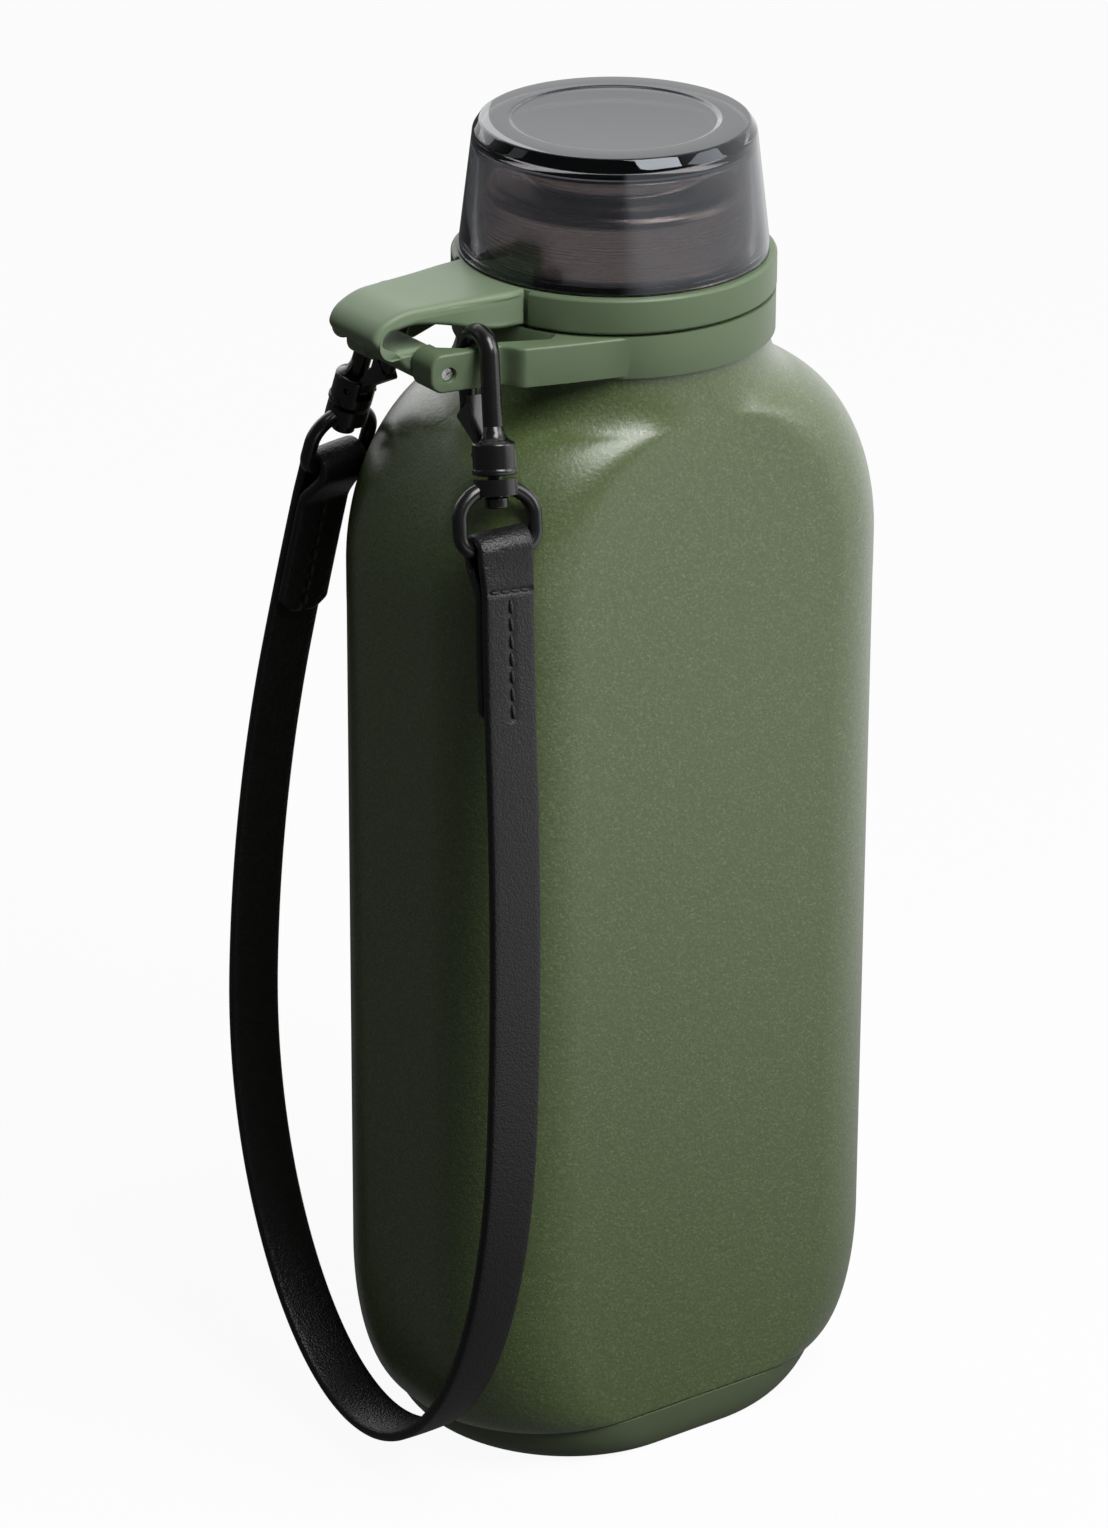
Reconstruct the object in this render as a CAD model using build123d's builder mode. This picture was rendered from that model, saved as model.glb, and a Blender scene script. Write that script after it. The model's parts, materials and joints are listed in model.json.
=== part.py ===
from build123d import *
import os
from math import acos, asin, atan2, cos, pi, radians, sin, sqrt, tan

# A flattened, double-walled steel water bottle with a clear screw cap on a
# soft tether, a collar with two arms, and a leather carry strap on two
# swivelling snap hooks. Millimetres, +Z up, origin at the centre of the base.
# The long side of the body lies along X and the bracket points to -X.

os.makedirs("parts", exist_ok=True)

# Body outline, outside, seen from above and from the side
body_half_x = 52.8
body_half_y = 32.8
body_corner = 21.8
base_half_x = 36.8
base_half_y = 29.4
parting_half_x = 48.2
parting_half_y = 32.4
parting_height = 9.4
belly_bottom = 38.2
shoulder_bottom = 191.7
shoulder_rise = 37.8
shoulder_foot_radius = 31.5
shoulder_end_angle = 74.0
shoulder_round_share = 1.25
neck_radius = 31.2
collar_bottom = 239.0

# Walls of the flask
full_turn = 360
steel_wall = 0.8
vacuum_gap = 3.2
liner_neck_radius = 24.9
liner_foot_radius = 25.6
liner_floor = 15.5
liner_top = 252.0
base_plate_thickness = 1.0
seal_radius = 3.0
seal_pocket = 0.5
seal_thickness = 1.1
seal_edge = 0.4
vent_radius = 0.8
getter_radius = 6.0
getter_thickness = 1.2
getter_x = 22.0
cup_wall = 1.4
cup_floor = 1.8
cup_spigot = 3.0
fit_gap = 0.05
seat_gap = 0.3
cut_over = 5.0

# Neck stack, from the collar up to the top of the cap
neck_tube_radius = 28.6
neck_tube_top = 246.9
spout_radius = 26.0
spout_shoulder = 270.0
spout_shoulder_fillet = 2.6
spout_wall = 1.0
spout_flange_radius = 30.2
spout_flange = 0.8
lip_radius = 16.8
lip_top = 276.4
lip_root_fillet = 1.4
gasket_thickness = 1.0
gasket_reach = 1.4
cap_top = 281.9
cap_top_radius = 26.7
cap_bevel = 2.1
cap_shoulder_radius = 28.1
cap_foot_radius = 31.0
cap_foot = 255.4
cap_wall = 1.7
cap_skirt_radius = 28.9
cap_skirt_wall = 1.3
cap_skirt_bottom = 248.4
cap_bead = 0.5
cap_bead_height = 0.8
cap_recess = 0.4
cap_recess_radius = 20.5
cap_wall_start = 262.0
stopper_radius = 15.2
stopper_wall = 1.6
stopper_bottom = 269.5

# Screw thread between spout and cap: two starts
thread_lead = 6.0
thread_starts = 2
thread_turns = 0.6
thread_depth = 1.2
cap_thread_depth = 1.15
thread_root = 1.3
thread_crest = 0.7
thread_embed = 0.3
thread_bottom = 249.8

# Green ring on the cap and the soft tether
ring_gap = 0.25
ring_radius = 32.4
ring_bottom = 247.9
ring_inner_wall = 2.25
ring_edge = 0.5
tether_nest_gap = 1.1
tether_seat_gap = 0.1
tether_plate_half = 11.4
tether_knee_half = 10.4
tether_waist_half = 9.5
tether_fold_half = 8.2
tether_root_x = 33.0
tether_knee_x = 40.0
tether_knee_z = 248.7
tether_waist_x = 48.0
tether_rise_x = 46.5
tether_rise_z = 250.6
tether_crest_x = 53.5
tether_crest_z = 251.9
tether_top = 255.3
tether_under = 247.9
tether_over_x = 60.3
tether_over_z = 253.6
tether_fold_x = 62.9
tether_fold_z = 250.5
tether_turn_x = 61.6
tether_turn_z = 247.9
tether_heel_x = 58.6
tether_heel_z = 246.0
tether_slot_x = 57.0
tether_slot_z = 247.0
tether_slot_tip_x = 60.6
tether_slot_tip_z = 248.9
tether_slot_end_x = 58.8
tether_slot_end_z = 251.3
tether_edge = 1.2
tether_bore_gap = 0.1
tail_half = 7.6
tail_from_x = 44.0
tail_to_x = 56.2
knuckle_side_share = 0.707
tail_knuckle_radius = 3.4

# Collar with two arms and two ears
collar_radius = 32.3
collar_top = 247.4
arm_bottom = 239.5
arm_edge = 0.6
collar_bore = 28.9
collar_flange_bore = 30.4
collar_flange_z = 246.8
arm_leave_x = 9.0
arm_swell_x = 21.5
arm_swell_y = 26.2
arm_shoulder_x = 36.2
arm_shoulder_y = 21.5
arm_step_x = 40.6
arm_step_y = 16.75
arm_middle_x = 47.0
arm_middle_y = 16.2
arm_root_radius = 31.2
arm_slant_top = 244.8
arm_slant_foot = 1.35
arm_slant_from = 38.0
arm_slant_to = 48.0
arm_slant_inner = 8.6
window_root_x = 29.3
window_root_y = 19.0
window_throat_x = 38.5
window_throat_y = 14.6
window_from_x = 40.0
window_to_x = 46.0
window_half_y = 13.6
window_end_x = 49.8
window_end_y = 10.4
ear_end_x = 54.2
ear_outer_y = 14.8
ear_round = 2.8
ear_slot_gap = 0.35
hinge_x = 50.5
hinge_z = 243.2
hinge_pin_radius = 1.5
hinge_pin_half = 14.9
hinge_bore_gap = 0.05

# Snap hook, in its own frame: the swivel axis is upright, the base stands
# on zero and the nose lies on the inner side
hook_x = 43.6
hook_y = 15.2
hook_z = 246.0
hook_lean_x = 7.3
hook_lean_y = 15.0
hook_wire = 1.95
hook_bend = 4.1
hook_embed = 1.0
hook_bend_height = 23.3
hook_nose_wire = 1.65
hook_nose_low = 12.0
hook_base_radius = 4.3
hook_base_height = 6.4
hook_base_edge = 0.6
gate_pivot_y = 2.4
gate_pivot_z = 4.0
gate_reach = 10.55
gate_gap = 0.3
gate_hub_radius = 1.4
gate_half_width = 1.7
gate_lip = 1.0
gate_lip_top = 15.4
gate_waist_z = 11.4
gate_throat_y = 2.7
gate_throat_z = 6.4
gate_rim_y = 4.5
gate_rim_z = 6.2
gate_bulge_z = 11.0
gate_slot_y = 0.7
gate_slot_z = 2.3
gate_cheek = 1.05
gate_pin_radius = 0.6
gate_pin_gap = 0.06
gate_pin_half = 3.4
gate_slot_gap = 0.25
spring_wire = 0.4
spring_radius = 1.0
spring_turns = 2.5
spring_pitch = 0.6

# Swivel post and oval ring below the hook
post_radius = 1.5
post_head_radius = 2.4
post_head = 2.2
post_bore_gap = 0.08
post_depth = 1.7
boss_height = 3.2
boss_drop = 0.6
head_gap = 0.4
head_edge = 0.4
oval_half_x = 8.0
oval_half_z = 6.1
oval_corner = 3.3
oval_wire = 1.5
oval_turn = 9.0

# Leather strap: a hanging loop, doubled over the ring at both ends
strap_width = 11.6
strap_thickness = 2.2
strap_half_span = 46.9
strap_loop_bottom = 7.5
strap_loop_middle = 94.0
strap_lean = 10.9
strap_plane_x = 58.5
strap_plane_bend_z = 45.0
strap_wrap_gap = 0.3
strap_body_gap = 0.3
strap_pinch = 9.0
strap_tongue = 34.0
strap_tongue_cut = 3.0
stitch_count = 7
stitch_length = 2.7
stitch_pitch = 3.4
stitch_radius = 0.4
stitch_first = 9.5

# Body: rounded rectangles stacked along Z, each given as height, half sizes
# and corner radius
nearly_round_share = 0.999
belly_steps = 7
shoulder_steps = 7
flare_steps = 4
base_steps = 4
base_end_angle = 62.0


def save(piece, name):
    # Label the piece and write it under its own name
    piece.part.label = name
    export_step(piece.part, "parts/" + name + ".step")


def section_face(height, half_x, half_y, corner):
    with BuildSketch(Plane.XY.offset(height)) as section:
        RectangleRounded(2 * half_x, 2 * half_y, corner)
    return section.sketch


def belly_sections(inset, bottom):
    # Quarter ellipse from the parting line up to the straight part
    sections = []
    rise = belly_bottom - parting_height
    start = acos(1 - (bottom - parting_height) / rise)
    for step in range(belly_steps + 1):
        turn = start + (pi / 2 - start) * step / belly_steps
        half_x = parting_half_x + (body_half_x - parting_half_x) * sin(turn) - inset
        half_y = parting_half_y + (body_half_y - parting_half_y) * sin(turn) - inset
        round_start = nearly_round_share * parting_half_y
        corner = round_start + (body_corner - round_start) * sin(turn) - inset
        height = parting_height + rise * (1 - cos(turn))
        sections.append((height, half_x, half_y, min(corner, nearly_round_share * half_y)))
    return sections


def shoulder_sections(inset, foot, neck):
    # Quarter ellipse from the straight part, then a concave flare to the neck
    half_x = body_half_x - inset
    half_y = body_half_y - inset
    corner = body_corner - inset
    rise = shoulder_rise - inset
    end = radians(shoulder_end_angle)
    sections = []
    for step in range(shoulder_steps + 1):
        turn = end * step / shoulder_steps
        lean = cos(turn)
        section_x = foot + (half_x - foot) * lean
        section_y = foot + (half_y - foot) * lean
        section_corner = corner + (foot - corner) * (1 - lean) * shoulder_round_share
        sections.append((shoulder_bottom + rise * sin(turn), section_x, section_y, section_corner))
    height, end_x, end_y, end_corner = sections[-1]
    slope = atan2(rise * cos(end), (half_x - foot) * sin(end))
    flare = (end_x - neck) / (1 - sin(slope))
    for step in range(1, flare_steps + 1):
        turn = slope + (pi / 2 - slope) * step / flare_steps
        share = (sin(turn) - sin(slope)) / (1 - sin(slope))
        section_x = end_x + (neck - end_x) * share
        section_y = end_y + (neck - end_y) * share
        section_corner = end_corner + (nearly_round_share * neck - end_corner) * share
        sections.append((height + flare * (cos(slope) - cos(turn)), section_x, section_y, section_corner))
    return sections


def flask_solid(inset, bottom, foot, neck, neck_top):
    # One closed solid of the body's shape, drawn in by the inset
    with BuildPart() as flask:
        for section in belly_sections(inset, bottom):
            add(section_face(*section))
        loft()
        add(section_face(belly_bottom, body_half_x - inset, body_half_y - inset, body_corner - inset))
        extrude(amount=shoulder_bottom - belly_bottom)
        shoulder = shoulder_sections(inset, foot, neck)
        for section in shoulder:
            add(section_face(*section))
        loft()
        add(section_face(*shoulder[-1]))
        extrude(amount=neck_top - shoulder[-1][0])
    return flask.part


def body_half_at(height):
    # Outer half sizes and corner of the belly at a height
    section = belly_sections(0, height)[0]
    return section[1], section[2], section[3]


# Outer shell: thin steel, open below and at the neck
with BuildPart() as outer_shell:
    add(flask_solid(0, parting_height + seat_gap, shoulder_foot_radius, neck_radius, collar_bottom))
    with BuildSketch(Plane.XY.offset(collar_bottom)):
        Circle(neck_tube_radius)
    extrude(amount=neck_tube_top - collar_bottom)
    inner_neck = neck_radius - steel_wall
    inner_foot = shoulder_foot_radius - steel_wall
    add(flask_solid(steel_wall, parting_height + seat_gap, inner_foot, inner_neck,
                    collar_bottom - steel_wall), mode=Mode.SUBTRACT)
    with BuildSketch(Plane.XY.offset(collar_bottom - cut_over)):
        Circle(neck_tube_radius - steel_wall)
    extrude(amount=neck_tube_top - collar_bottom + 2 * cut_over, mode=Mode.SUBTRACT)
save(outer_shell, "outer_shell")

# Inner liner: the wall that holds the drink, closed below
with BuildPart() as inner_liner:
    liner_inset = steel_wall + vacuum_gap
    liner_inner = liner_inset + steel_wall
    add(flask_solid(liner_inset, liner_floor, liner_foot_radius, liner_neck_radius, liner_top))
    add(flask_solid(liner_inner, liner_floor + steel_wall, liner_foot_radius - steel_wall,
                    liner_neck_radius - steel_wall, liner_top + cut_over), mode=Mode.SUBTRACT)
save(inner_liner, "inner_liner")

# Steel plate that closes the vacuum space, with a pocket and hole for the seal
plate_bottom = parting_height + cup_spigot + seat_gap
plate_top = plate_bottom + base_plate_thickness
plate_inset = steel_wall + fit_gap
plate_x, plate_y, plate_corner = body_half_at(plate_bottom)
with BuildPart() as vacuum_base_plate:
    add(section_face(plate_bottom, plate_x - plate_inset, plate_y - plate_inset, plate_corner - plate_inset))
    extrude(amount=base_plate_thickness)
    with BuildSketch(Plane.XY.offset(plate_bottom)):
        Circle(seal_radius + fit_gap)
    extrude(amount=seal_pocket, mode=Mode.SUBTRACT)
    with BuildSketch(Plane.XY.offset(plate_bottom)):
        Circle(vent_radius)
    extrude(amount=base_plate_thickness, mode=Mode.SUBTRACT)
save(vacuum_base_plate, "vacuum_base_plate")

# Bead of sealing glass in the pocket
with BuildPart() as seal_bead:
    with BuildSketch(Plane.XY.offset(plate_bottom + seal_pocket)):
        Circle(seal_radius)
    extrude(amount=-seal_thickness)
    fillet(seal_bead.edges().group_by(Axis.Z)[0], seal_edge)
save(seal_bead, "seal_bead")

# Getter pill that keeps the vacuum, on top of the plate
with BuildPart() as getter_pill:
    with BuildSketch(Plane.XY.offset(plate_top)):
        with Locations((getter_x, 0)):
            Circle(getter_radius)
    extrude(amount=getter_thickness)
    fillet(getter_pill.edges().group_by(Axis.Z)[-1], seal_edge)
save(getter_pill, "getter_pill")


def cup_sections(inset, floor):
    # Convex flank of the base cup, from its floor up to the parting line
    sections = []
    end = radians(base_end_angle)
    for step in range(base_steps + 1):
        turn = end * step / base_steps
        out_share = sin(turn) / sin(end)
        up_share = (1 - cos(turn)) / (1 - cos(end))
        half_x = base_half_x + (parting_half_x - base_half_x) * out_share - inset
        half_y = base_half_y + (parting_half_y - base_half_y) * out_share - inset
        height = floor + (parting_height - floor) * up_share
        sections.append((height, half_x, half_y, nearly_round_share * half_y))
    return sections


# Base cup: the separate bottom piece, hollow, its spigot inside the shell
spigot_x, spigot_y, spigot_corner = body_half_at(parting_height + seat_gap)
with BuildPart() as base_cup:
    for section in cup_sections(0, 0):
        add(section_face(*section))
    loft()
    for section in cup_sections(cup_wall, cup_floor):
        add(section_face(*section))
    loft(mode=Mode.SUBTRACT)
    with BuildSketch(Plane.XY.offset(parting_height)):
        RectangleRounded(2 * (spigot_x - plate_inset), 2 * (spigot_y - plate_inset), spigot_corner - plate_inset)
        cup_inner_y = parting_half_y - cup_wall
        RectangleRounded(2 * (parting_half_x - cup_wall), 2 * cup_inner_y, nearly_round_share * cup_inner_y,
                         mode=Mode.SUBTRACT)
    extrude(amount=cup_spigot)
save(base_cup, "base_cup")


def turned(outline):
    # Solid of revolution about Z from a list of (radius, height) corners
    with BuildPart() as body:
        with BuildSketch(Plane.XZ):
            with BuildLine():
                Polyline(*outline, close=True)
            make_face()
        revolve(axis=Axis.Z)
    return body


def thread_rib(radius, depth, start_height, start_angle):
    # One start of the thread, outward for a depth above zero, inward below
    out = 1 if depth > 0 else -1
    with BuildPart() as rib:
        with BuildLine() as path:
            Helix(thread_lead, thread_lead * thread_turns, radius, center=(0, 0, start_height))
        start = path.line @ 0
        along = path.line % 0
        with BuildSketch(Plane(origin=start, x_dir=(1, 0, 0), z_dir=along)):
            with BuildLine():
                Polyline((-out * thread_embed, -thread_root / 2), (depth, -thread_crest / 2),
                         (depth, thread_crest / 2), (-out * thread_embed, thread_root / 2), close=True)
            make_face()
        sweep(is_frenet=True)
    return rib.part.rotate(Axis.Z, start_angle)


# Spout: brushed steel neck with shoulder, drinking lip and outside thread
spout_inner = spout_radius - spout_wall
flange_top = neck_tube_top + spout_flange
with BuildPart() as spout:
    with BuildSketch(Plane.XZ):
        with BuildLine():
            Polyline((spout_inner, neck_tube_top), (spout_flange_radius, neck_tube_top),
                     (spout_flange_radius, flange_top), (spout_radius, flange_top),
                     (spout_radius, spout_shoulder - spout_shoulder_fillet))
            RadiusArc((spout_radius, spout_shoulder - spout_shoulder_fillet),
                      (spout_radius - spout_shoulder_fillet, spout_shoulder), -spout_shoulder_fillet)
            Line((spout_radius - spout_shoulder_fillet, spout_shoulder),
                 (lip_radius + lip_root_fillet, spout_shoulder))
            RadiusArc((lip_radius + lip_root_fillet, spout_shoulder),
                      (lip_radius, spout_shoulder + lip_root_fillet), lip_root_fillet)
            Polyline((lip_radius, spout_shoulder + lip_root_fillet), (lip_radius, lip_top),
                     (lip_radius - spout_wall, lip_top), (lip_radius - spout_wall, spout_shoulder - spout_wall),
                     (spout_inner - spout_shoulder_fillet, spout_shoulder - spout_wall),
                     (spout_inner, spout_shoulder - spout_wall - spout_shoulder_fillet),
                     (spout_inner, neck_tube_top))
        make_face()
    revolve(axis=Axis.Z)
    for start in range(thread_starts):
        add(thread_rib(spout_radius, thread_depth, thread_bottom, start * full_turn / thread_starts))
save(spout, "spout")

# Cap shell: clear smoked screw cap with thick top, skirt and inside thread
cap_under = lip_top + gasket_thickness
skirt_inner = cap_skirt_radius - cap_skirt_wall
cap_pitch = thread_lead / thread_starts
with BuildPart() as cap_shell:
    add(turned([
        (0, cap_top - cap_recess), (cap_recess_radius, cap_top - cap_recess),
        (cap_recess_radius + cap_recess, cap_top), (cap_top_radius, cap_top),
        (cap_shoulder_radius, cap_top - cap_bevel), (cap_foot_radius, cap_foot), (cap_skirt_radius, cap_foot),
        (cap_skirt_radius, cap_skirt_bottom + cap_bead_height),
        (cap_skirt_radius + cap_bead, cap_skirt_bottom + cap_bead_height),
        (cap_skirt_radius + cap_bead, cap_skirt_bottom), (skirt_inner, cap_skirt_bottom),
        (skirt_inner, cap_wall_start), (cap_shoulder_radius - cap_wall, cap_under), (0, cap_under)]).part)
    for start in range(thread_starts):
        add(thread_rib(skirt_inner, -cap_thread_depth, thread_bottom + cap_pitch / 2,
                       start * full_turn / thread_starts))
save(cap_shell, "cap_shell")

# Stopper under the cap, a cup that enters the drinking lip
with BuildPart() as cap_stopper:
    add(turned([
        (0, stopper_bottom), (stopper_radius, stopper_bottom), (stopper_radius, cap_under),
        (stopper_radius - stopper_wall, cap_under), (stopper_radius - stopper_wall, stopper_bottom + stopper_wall),
        (0, stopper_bottom + stopper_wall)]).part)
save(cap_stopper, "cap_stopper")

# Flat silicone washer between the drinking lip and the cap
with BuildPart() as lip_gasket:
    with BuildSketch(Plane.XY.offset(lip_top)):
        Circle(lip_radius + gasket_reach)
        Circle(stopper_radius + fit_gap, mode=Mode.SUBTRACT)
    extrude(amount=gasket_thickness)
save(lip_gasket, "lip_gasket")

# Cap ring: turns on the cap's skirt, its thick band open where the tether nests
ring_bore = cap_skirt_radius + ring_gap
ring_top = cap_foot - ring_gap
ring_thin = ring_bore + ring_inner_wall
bead_bore = cap_skirt_radius + cap_bead + ring_gap
bead_top = cap_skirt_bottom + cap_bead_height + ring_gap
with BuildPart() as cap_ring:
    add(turned([
        (bead_bore, ring_bottom), (ring_radius - ring_edge, ring_bottom), (ring_radius, ring_bottom + ring_edge),
        (ring_radius, ring_top - ring_edge), (ring_radius - ring_edge, ring_top), (ring_bore, ring_top),
        (ring_bore, bead_top), (bead_bore, bead_top)]).part)
    with BuildSketch(Plane.XY.offset(ring_bottom)):
        nest_half = tether_plate_half + tether_nest_gap
        with Locations((-ring_radius, 0)):
            Rectangle(ring_radius, 2 * nest_half)
        Circle(ring_thin, mode=Mode.SUBTRACT)
    extrude(amount=ring_top - ring_bottom, mode=Mode.SUBTRACT)
save(cap_ring, "cap_ring")

# Tether: soft moulding, flat plate at the ring, a fold, and a tail on the pin
plate_inner = ring_thin + tether_seat_gap
plate_start = sqrt(plate_inner ** 2 - tether_plate_half ** 2) - cut_over
knuckle_side = tail_knuckle_radius * knuckle_side_share
with BuildPart() as tether:
    with BuildSketch(Plane.XZ):
        with BuildLine():
            Polyline((-plate_start, tether_under), (-plate_start, tether_top), (-tether_crest_x, tether_top))
            ThreePointArc((-tether_crest_x, tether_top), (-tether_over_x, tether_over_z),
                          (-tether_fold_x, tether_fold_z))
            ThreePointArc((-tether_fold_x, tether_fold_z), (-tether_turn_x, tether_turn_z),
                          (-tether_heel_x, tether_heel_z))
            Line((-tether_heel_x, tether_heel_z), (-hinge_x - knuckle_side, hinge_z - knuckle_side))
            ThreePointArc((-hinge_x - knuckle_side, hinge_z - knuckle_side),
                          (-hinge_x + tail_knuckle_radius, hinge_z), (-hinge_x, hinge_z + tail_knuckle_radius))
            Line((-hinge_x, hinge_z + tail_knuckle_radius), (-tether_slot_x, tether_slot_z))
            ThreePointArc((-tether_slot_x, tether_slot_z), (-tether_slot_tip_x, tether_slot_tip_z),
                          (-tether_slot_end_x, tether_slot_end_z))
            Spline((-tether_slot_end_x, tether_slot_end_z), (-tether_crest_x, tether_crest_z),
                   (-tether_rise_x, tether_rise_z), (-tether_knee_x, tether_knee_z), (-tether_root_x, tether_under),
                   tangents=[(1, 0), (1, 0)])
            Line((-tether_root_x, tether_under), (-plate_start, tether_under))
        make_face()
    extrude(amount=tether_plate_half, both=True)
    with BuildSketch(Plane.XY.offset(collar_bottom)):
        with BuildLine():
            side_points = [(-plate_start, tether_plate_half), (-ring_thin, tether_plate_half),
                           (-tether_knee_x, tether_knee_half), (-tether_waist_x, tether_waist_half),
                           (-tether_fold_x - fit_gap, tether_fold_half)]
            mirrored_points = [(x, -y) for x, y in reversed(side_points)]
            Polyline(*side_points, *mirrored_points, close=True)
        make_face()
        Circle(plate_inner, mode=Mode.SUBTRACT)
    extrude(amount=cap_foot - collar_bottom, mode=Mode.INTERSECT)
    with BuildSketch(Plane.XY.offset(collar_bottom)):
        tail_reach = tail_to_x - tail_from_x
        for side in (-1, 1):
            with Locations((-(tail_from_x + tail_to_x) / 2, side * (tail_half + cut_over / 2))):
                Rectangle(tail_reach, cut_over)
    extrude(amount=collar_top + ear_slot_gap - collar_bottom, mode=Mode.SUBTRACT)
    with BuildSketch(Plane.XZ):
        with Locations((-hinge_x, hinge_z)):
            Circle(hinge_pin_radius + tether_bore_gap)
    extrude(amount=tether_plate_half, both=True, mode=Mode.SUBTRACT)
save(tether, "tether")

# Neck collar: ring on the neck with two arms that end in ears for the pin
with BuildPart() as neck_collar:
    with BuildSketch(Plane.XY.offset(arm_bottom)):
        with BuildLine():
            arm_leave_y = sqrt(arm_root_radius ** 2 - arm_leave_x ** 2)
            Spline((-arm_leave_x, arm_leave_y), (-arm_swell_x, arm_swell_y), (-arm_shoulder_x, arm_shoulder_y),
                   tangents=[(-arm_leave_y, -arm_leave_x), (-arm_swell_y, -arm_leave_x)])
            Spline((-arm_shoulder_x, arm_shoulder_y), (-arm_step_x, arm_step_y),
                   tangents=[(-arm_swell_y, -arm_leave_x), (-arm_middle_x, -ear_round)])
            slot_half = tail_half + ear_slot_gap
            Polyline((-arm_step_x, arm_step_y), (-arm_middle_x, arm_middle_y), (-ear_end_x, ear_outer_y),
                     (-ear_end_x, slot_half), (-window_end_x, slot_half), (-window_end_x, window_end_y),
                     (-window_to_x, window_half_y), (-window_from_x, window_half_y),
                     (-window_throat_x, window_throat_y), (-window_root_x, window_root_y))
            root_x = arm_root_radius * window_root_x / sqrt(window_root_x ** 2 + window_root_y ** 2)
            root_y = arm_root_radius * window_root_y / sqrt(window_root_x ** 2 + window_root_y ** 2)
            Polyline((-window_root_x, window_root_y), (-root_x, root_y), (-arm_leave_x, arm_leave_y))
        make_face()
    extrude(amount=collar_top - arm_bottom)
    with BuildSketch(Plane.YZ.offset(-arm_slant_to)):
        with BuildLine():
            Polyline((arm_slant_inner, arm_slant_top), (window_half_y, arm_slant_top),
                     (window_half_y + arm_slant_foot, arm_bottom), (arm_slant_inner, arm_bottom), close=True)
        make_face()
    extrude(amount=arm_slant_to - arm_slant_from, mode=Mode.SUBTRACT)
    fillet(neck_collar.edges().filter_by(Axis.Y).group_by(Axis.X)[0], ear_round)
    fillet(neck_collar.edges().group_by(Axis.Z)[-1], arm_edge)
    mirror(about=Plane.XZ)
    with BuildSketch(Plane.XY.offset(collar_bottom)):
        Circle(collar_radius)
    extrude(amount=collar_top - collar_bottom)
    with BuildSketch(Plane.XY.offset(collar_bottom)):
        Circle(collar_bore)
    extrude(amount=collar_top - collar_bottom, mode=Mode.SUBTRACT)
    with BuildSketch(Plane.XY.offset(collar_flange_z)):
        Circle(collar_flange_bore)
    extrude(amount=collar_top - collar_flange_z, mode=Mode.SUBTRACT)
    with BuildSketch(Plane.XZ):
        with Locations((-hinge_x, hinge_z)):
            Circle(hinge_pin_radius + hinge_bore_gap)
    extrude(amount=collar_radius, both=True, mode=Mode.SUBTRACT)
save(neck_collar, "neck_collar")

# Steel pin through both ears and the tail of the tether
with BuildPart() as hinge_pin:
    with BuildSketch(Plane.XZ):
        with Locations((-hinge_x, hinge_z)):
            Circle(hinge_pin_radius)
    extrude(amount=hinge_pin_half, both=True)
    fillet(hinge_pin.edges().filter_by(GeomType.CIRCLE), head_edge)
save(hinge_pin, "hinge_pin")


def hook_frame(side):
    # Frame of the hook on one side: swivel axis up, nose on the inner side
    up = Vector(tan(radians(hook_lean_x)), -side * tan(radians(hook_lean_y)), 1).normalized()
    across = Vector(-side, 0, 0)
    across = (across - up * across.dot(up)).normalized()
    inward = up.cross(across)
    arch = Vector(-hook_x, side * hook_y, hook_z)
    return Plane(origin=arch - inward * hook_bend - up * hook_bend_height, x_dir=across, z_dir=up)


def side_view(frame):
    # Plane of the bent hook: first coordinate inward, second up the axis
    return Plane(origin=frame.origin, x_dir=frame.y_dir, z_dir=frame.x_dir)


def front_view(frame):
    # Plane of the oval ring: first coordinate across, second up the axis
    return Plane(origin=frame.origin, x_dir=frame.x_dir, z_dir=-frame.y_dir)


nose_y = 2 * hook_bend


def hook_nose(frame):
    # Tapering leg on the inner side, ending on a circle about the gate's pivot
    with BuildPart() as nose:
        with BuildSketch(frame.offset(hook_nose_low)):
            with Locations((0, nose_y)):
                Circle(hook_nose_wire)
        with BuildSketch(frame.offset(hook_bend_height)):
            with Locations((0, nose_y)):
                Circle(hook_wire)
        loft()
        with BuildSketch(side_view(frame)):
            with Locations((gate_pivot_y, gate_pivot_z)):
                Circle(gate_reach + gate_gap)
        extrude(amount=hook_base_radius, both=True, mode=Mode.SUBTRACT)
    return nose.part


def snap_hook(side):
    # Round base, outer leg and arch, with a slot and a cross bore for the gate
    frame = hook_frame(side)
    with BuildPart() as hook:
        with BuildSketch(frame):
            Circle(hook_base_radius)
        extrude(amount=hook_base_height)
        fillet(hook.edges().filter_by(GeomType.CIRCLE), hook_base_edge)
        with BuildLine(side_view(frame)):
            Line((0, hook_base_height - hook_embed), (0, hook_bend_height))
            CenterArc((hook_bend, hook_bend_height), hook_bend, full_turn / 2, -full_turn / 2)
        with BuildSketch(frame.offset(hook_base_height - hook_embed)):
            Circle(hook_wire)
        sweep()
        add(hook_nose(frame))
        with BuildSketch(side_view(frame)):
            with Locations((gate_slot_y, gate_slot_z)):
                Rectangle(hook_base_radius, hook_base_height - gate_slot_z, align=(Align.MIN, Align.MIN))
        extrude(amount=gate_half_width + gate_slot_gap, both=True, mode=Mode.SUBTRACT)
        with BuildSketch(side_view(frame)):
            with Locations((gate_pivot_y, gate_pivot_z)):
                Circle(gate_pin_radius + gate_pin_gap)
        extrude(amount=hook_base_radius, both=True, mode=Mode.SUBTRACT)
        with BuildSketch(frame):
            Circle(post_radius + fit_gap)
        extrude(amount=post_depth + seat_gap, mode=Mode.SUBTRACT)
    return hook


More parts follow.
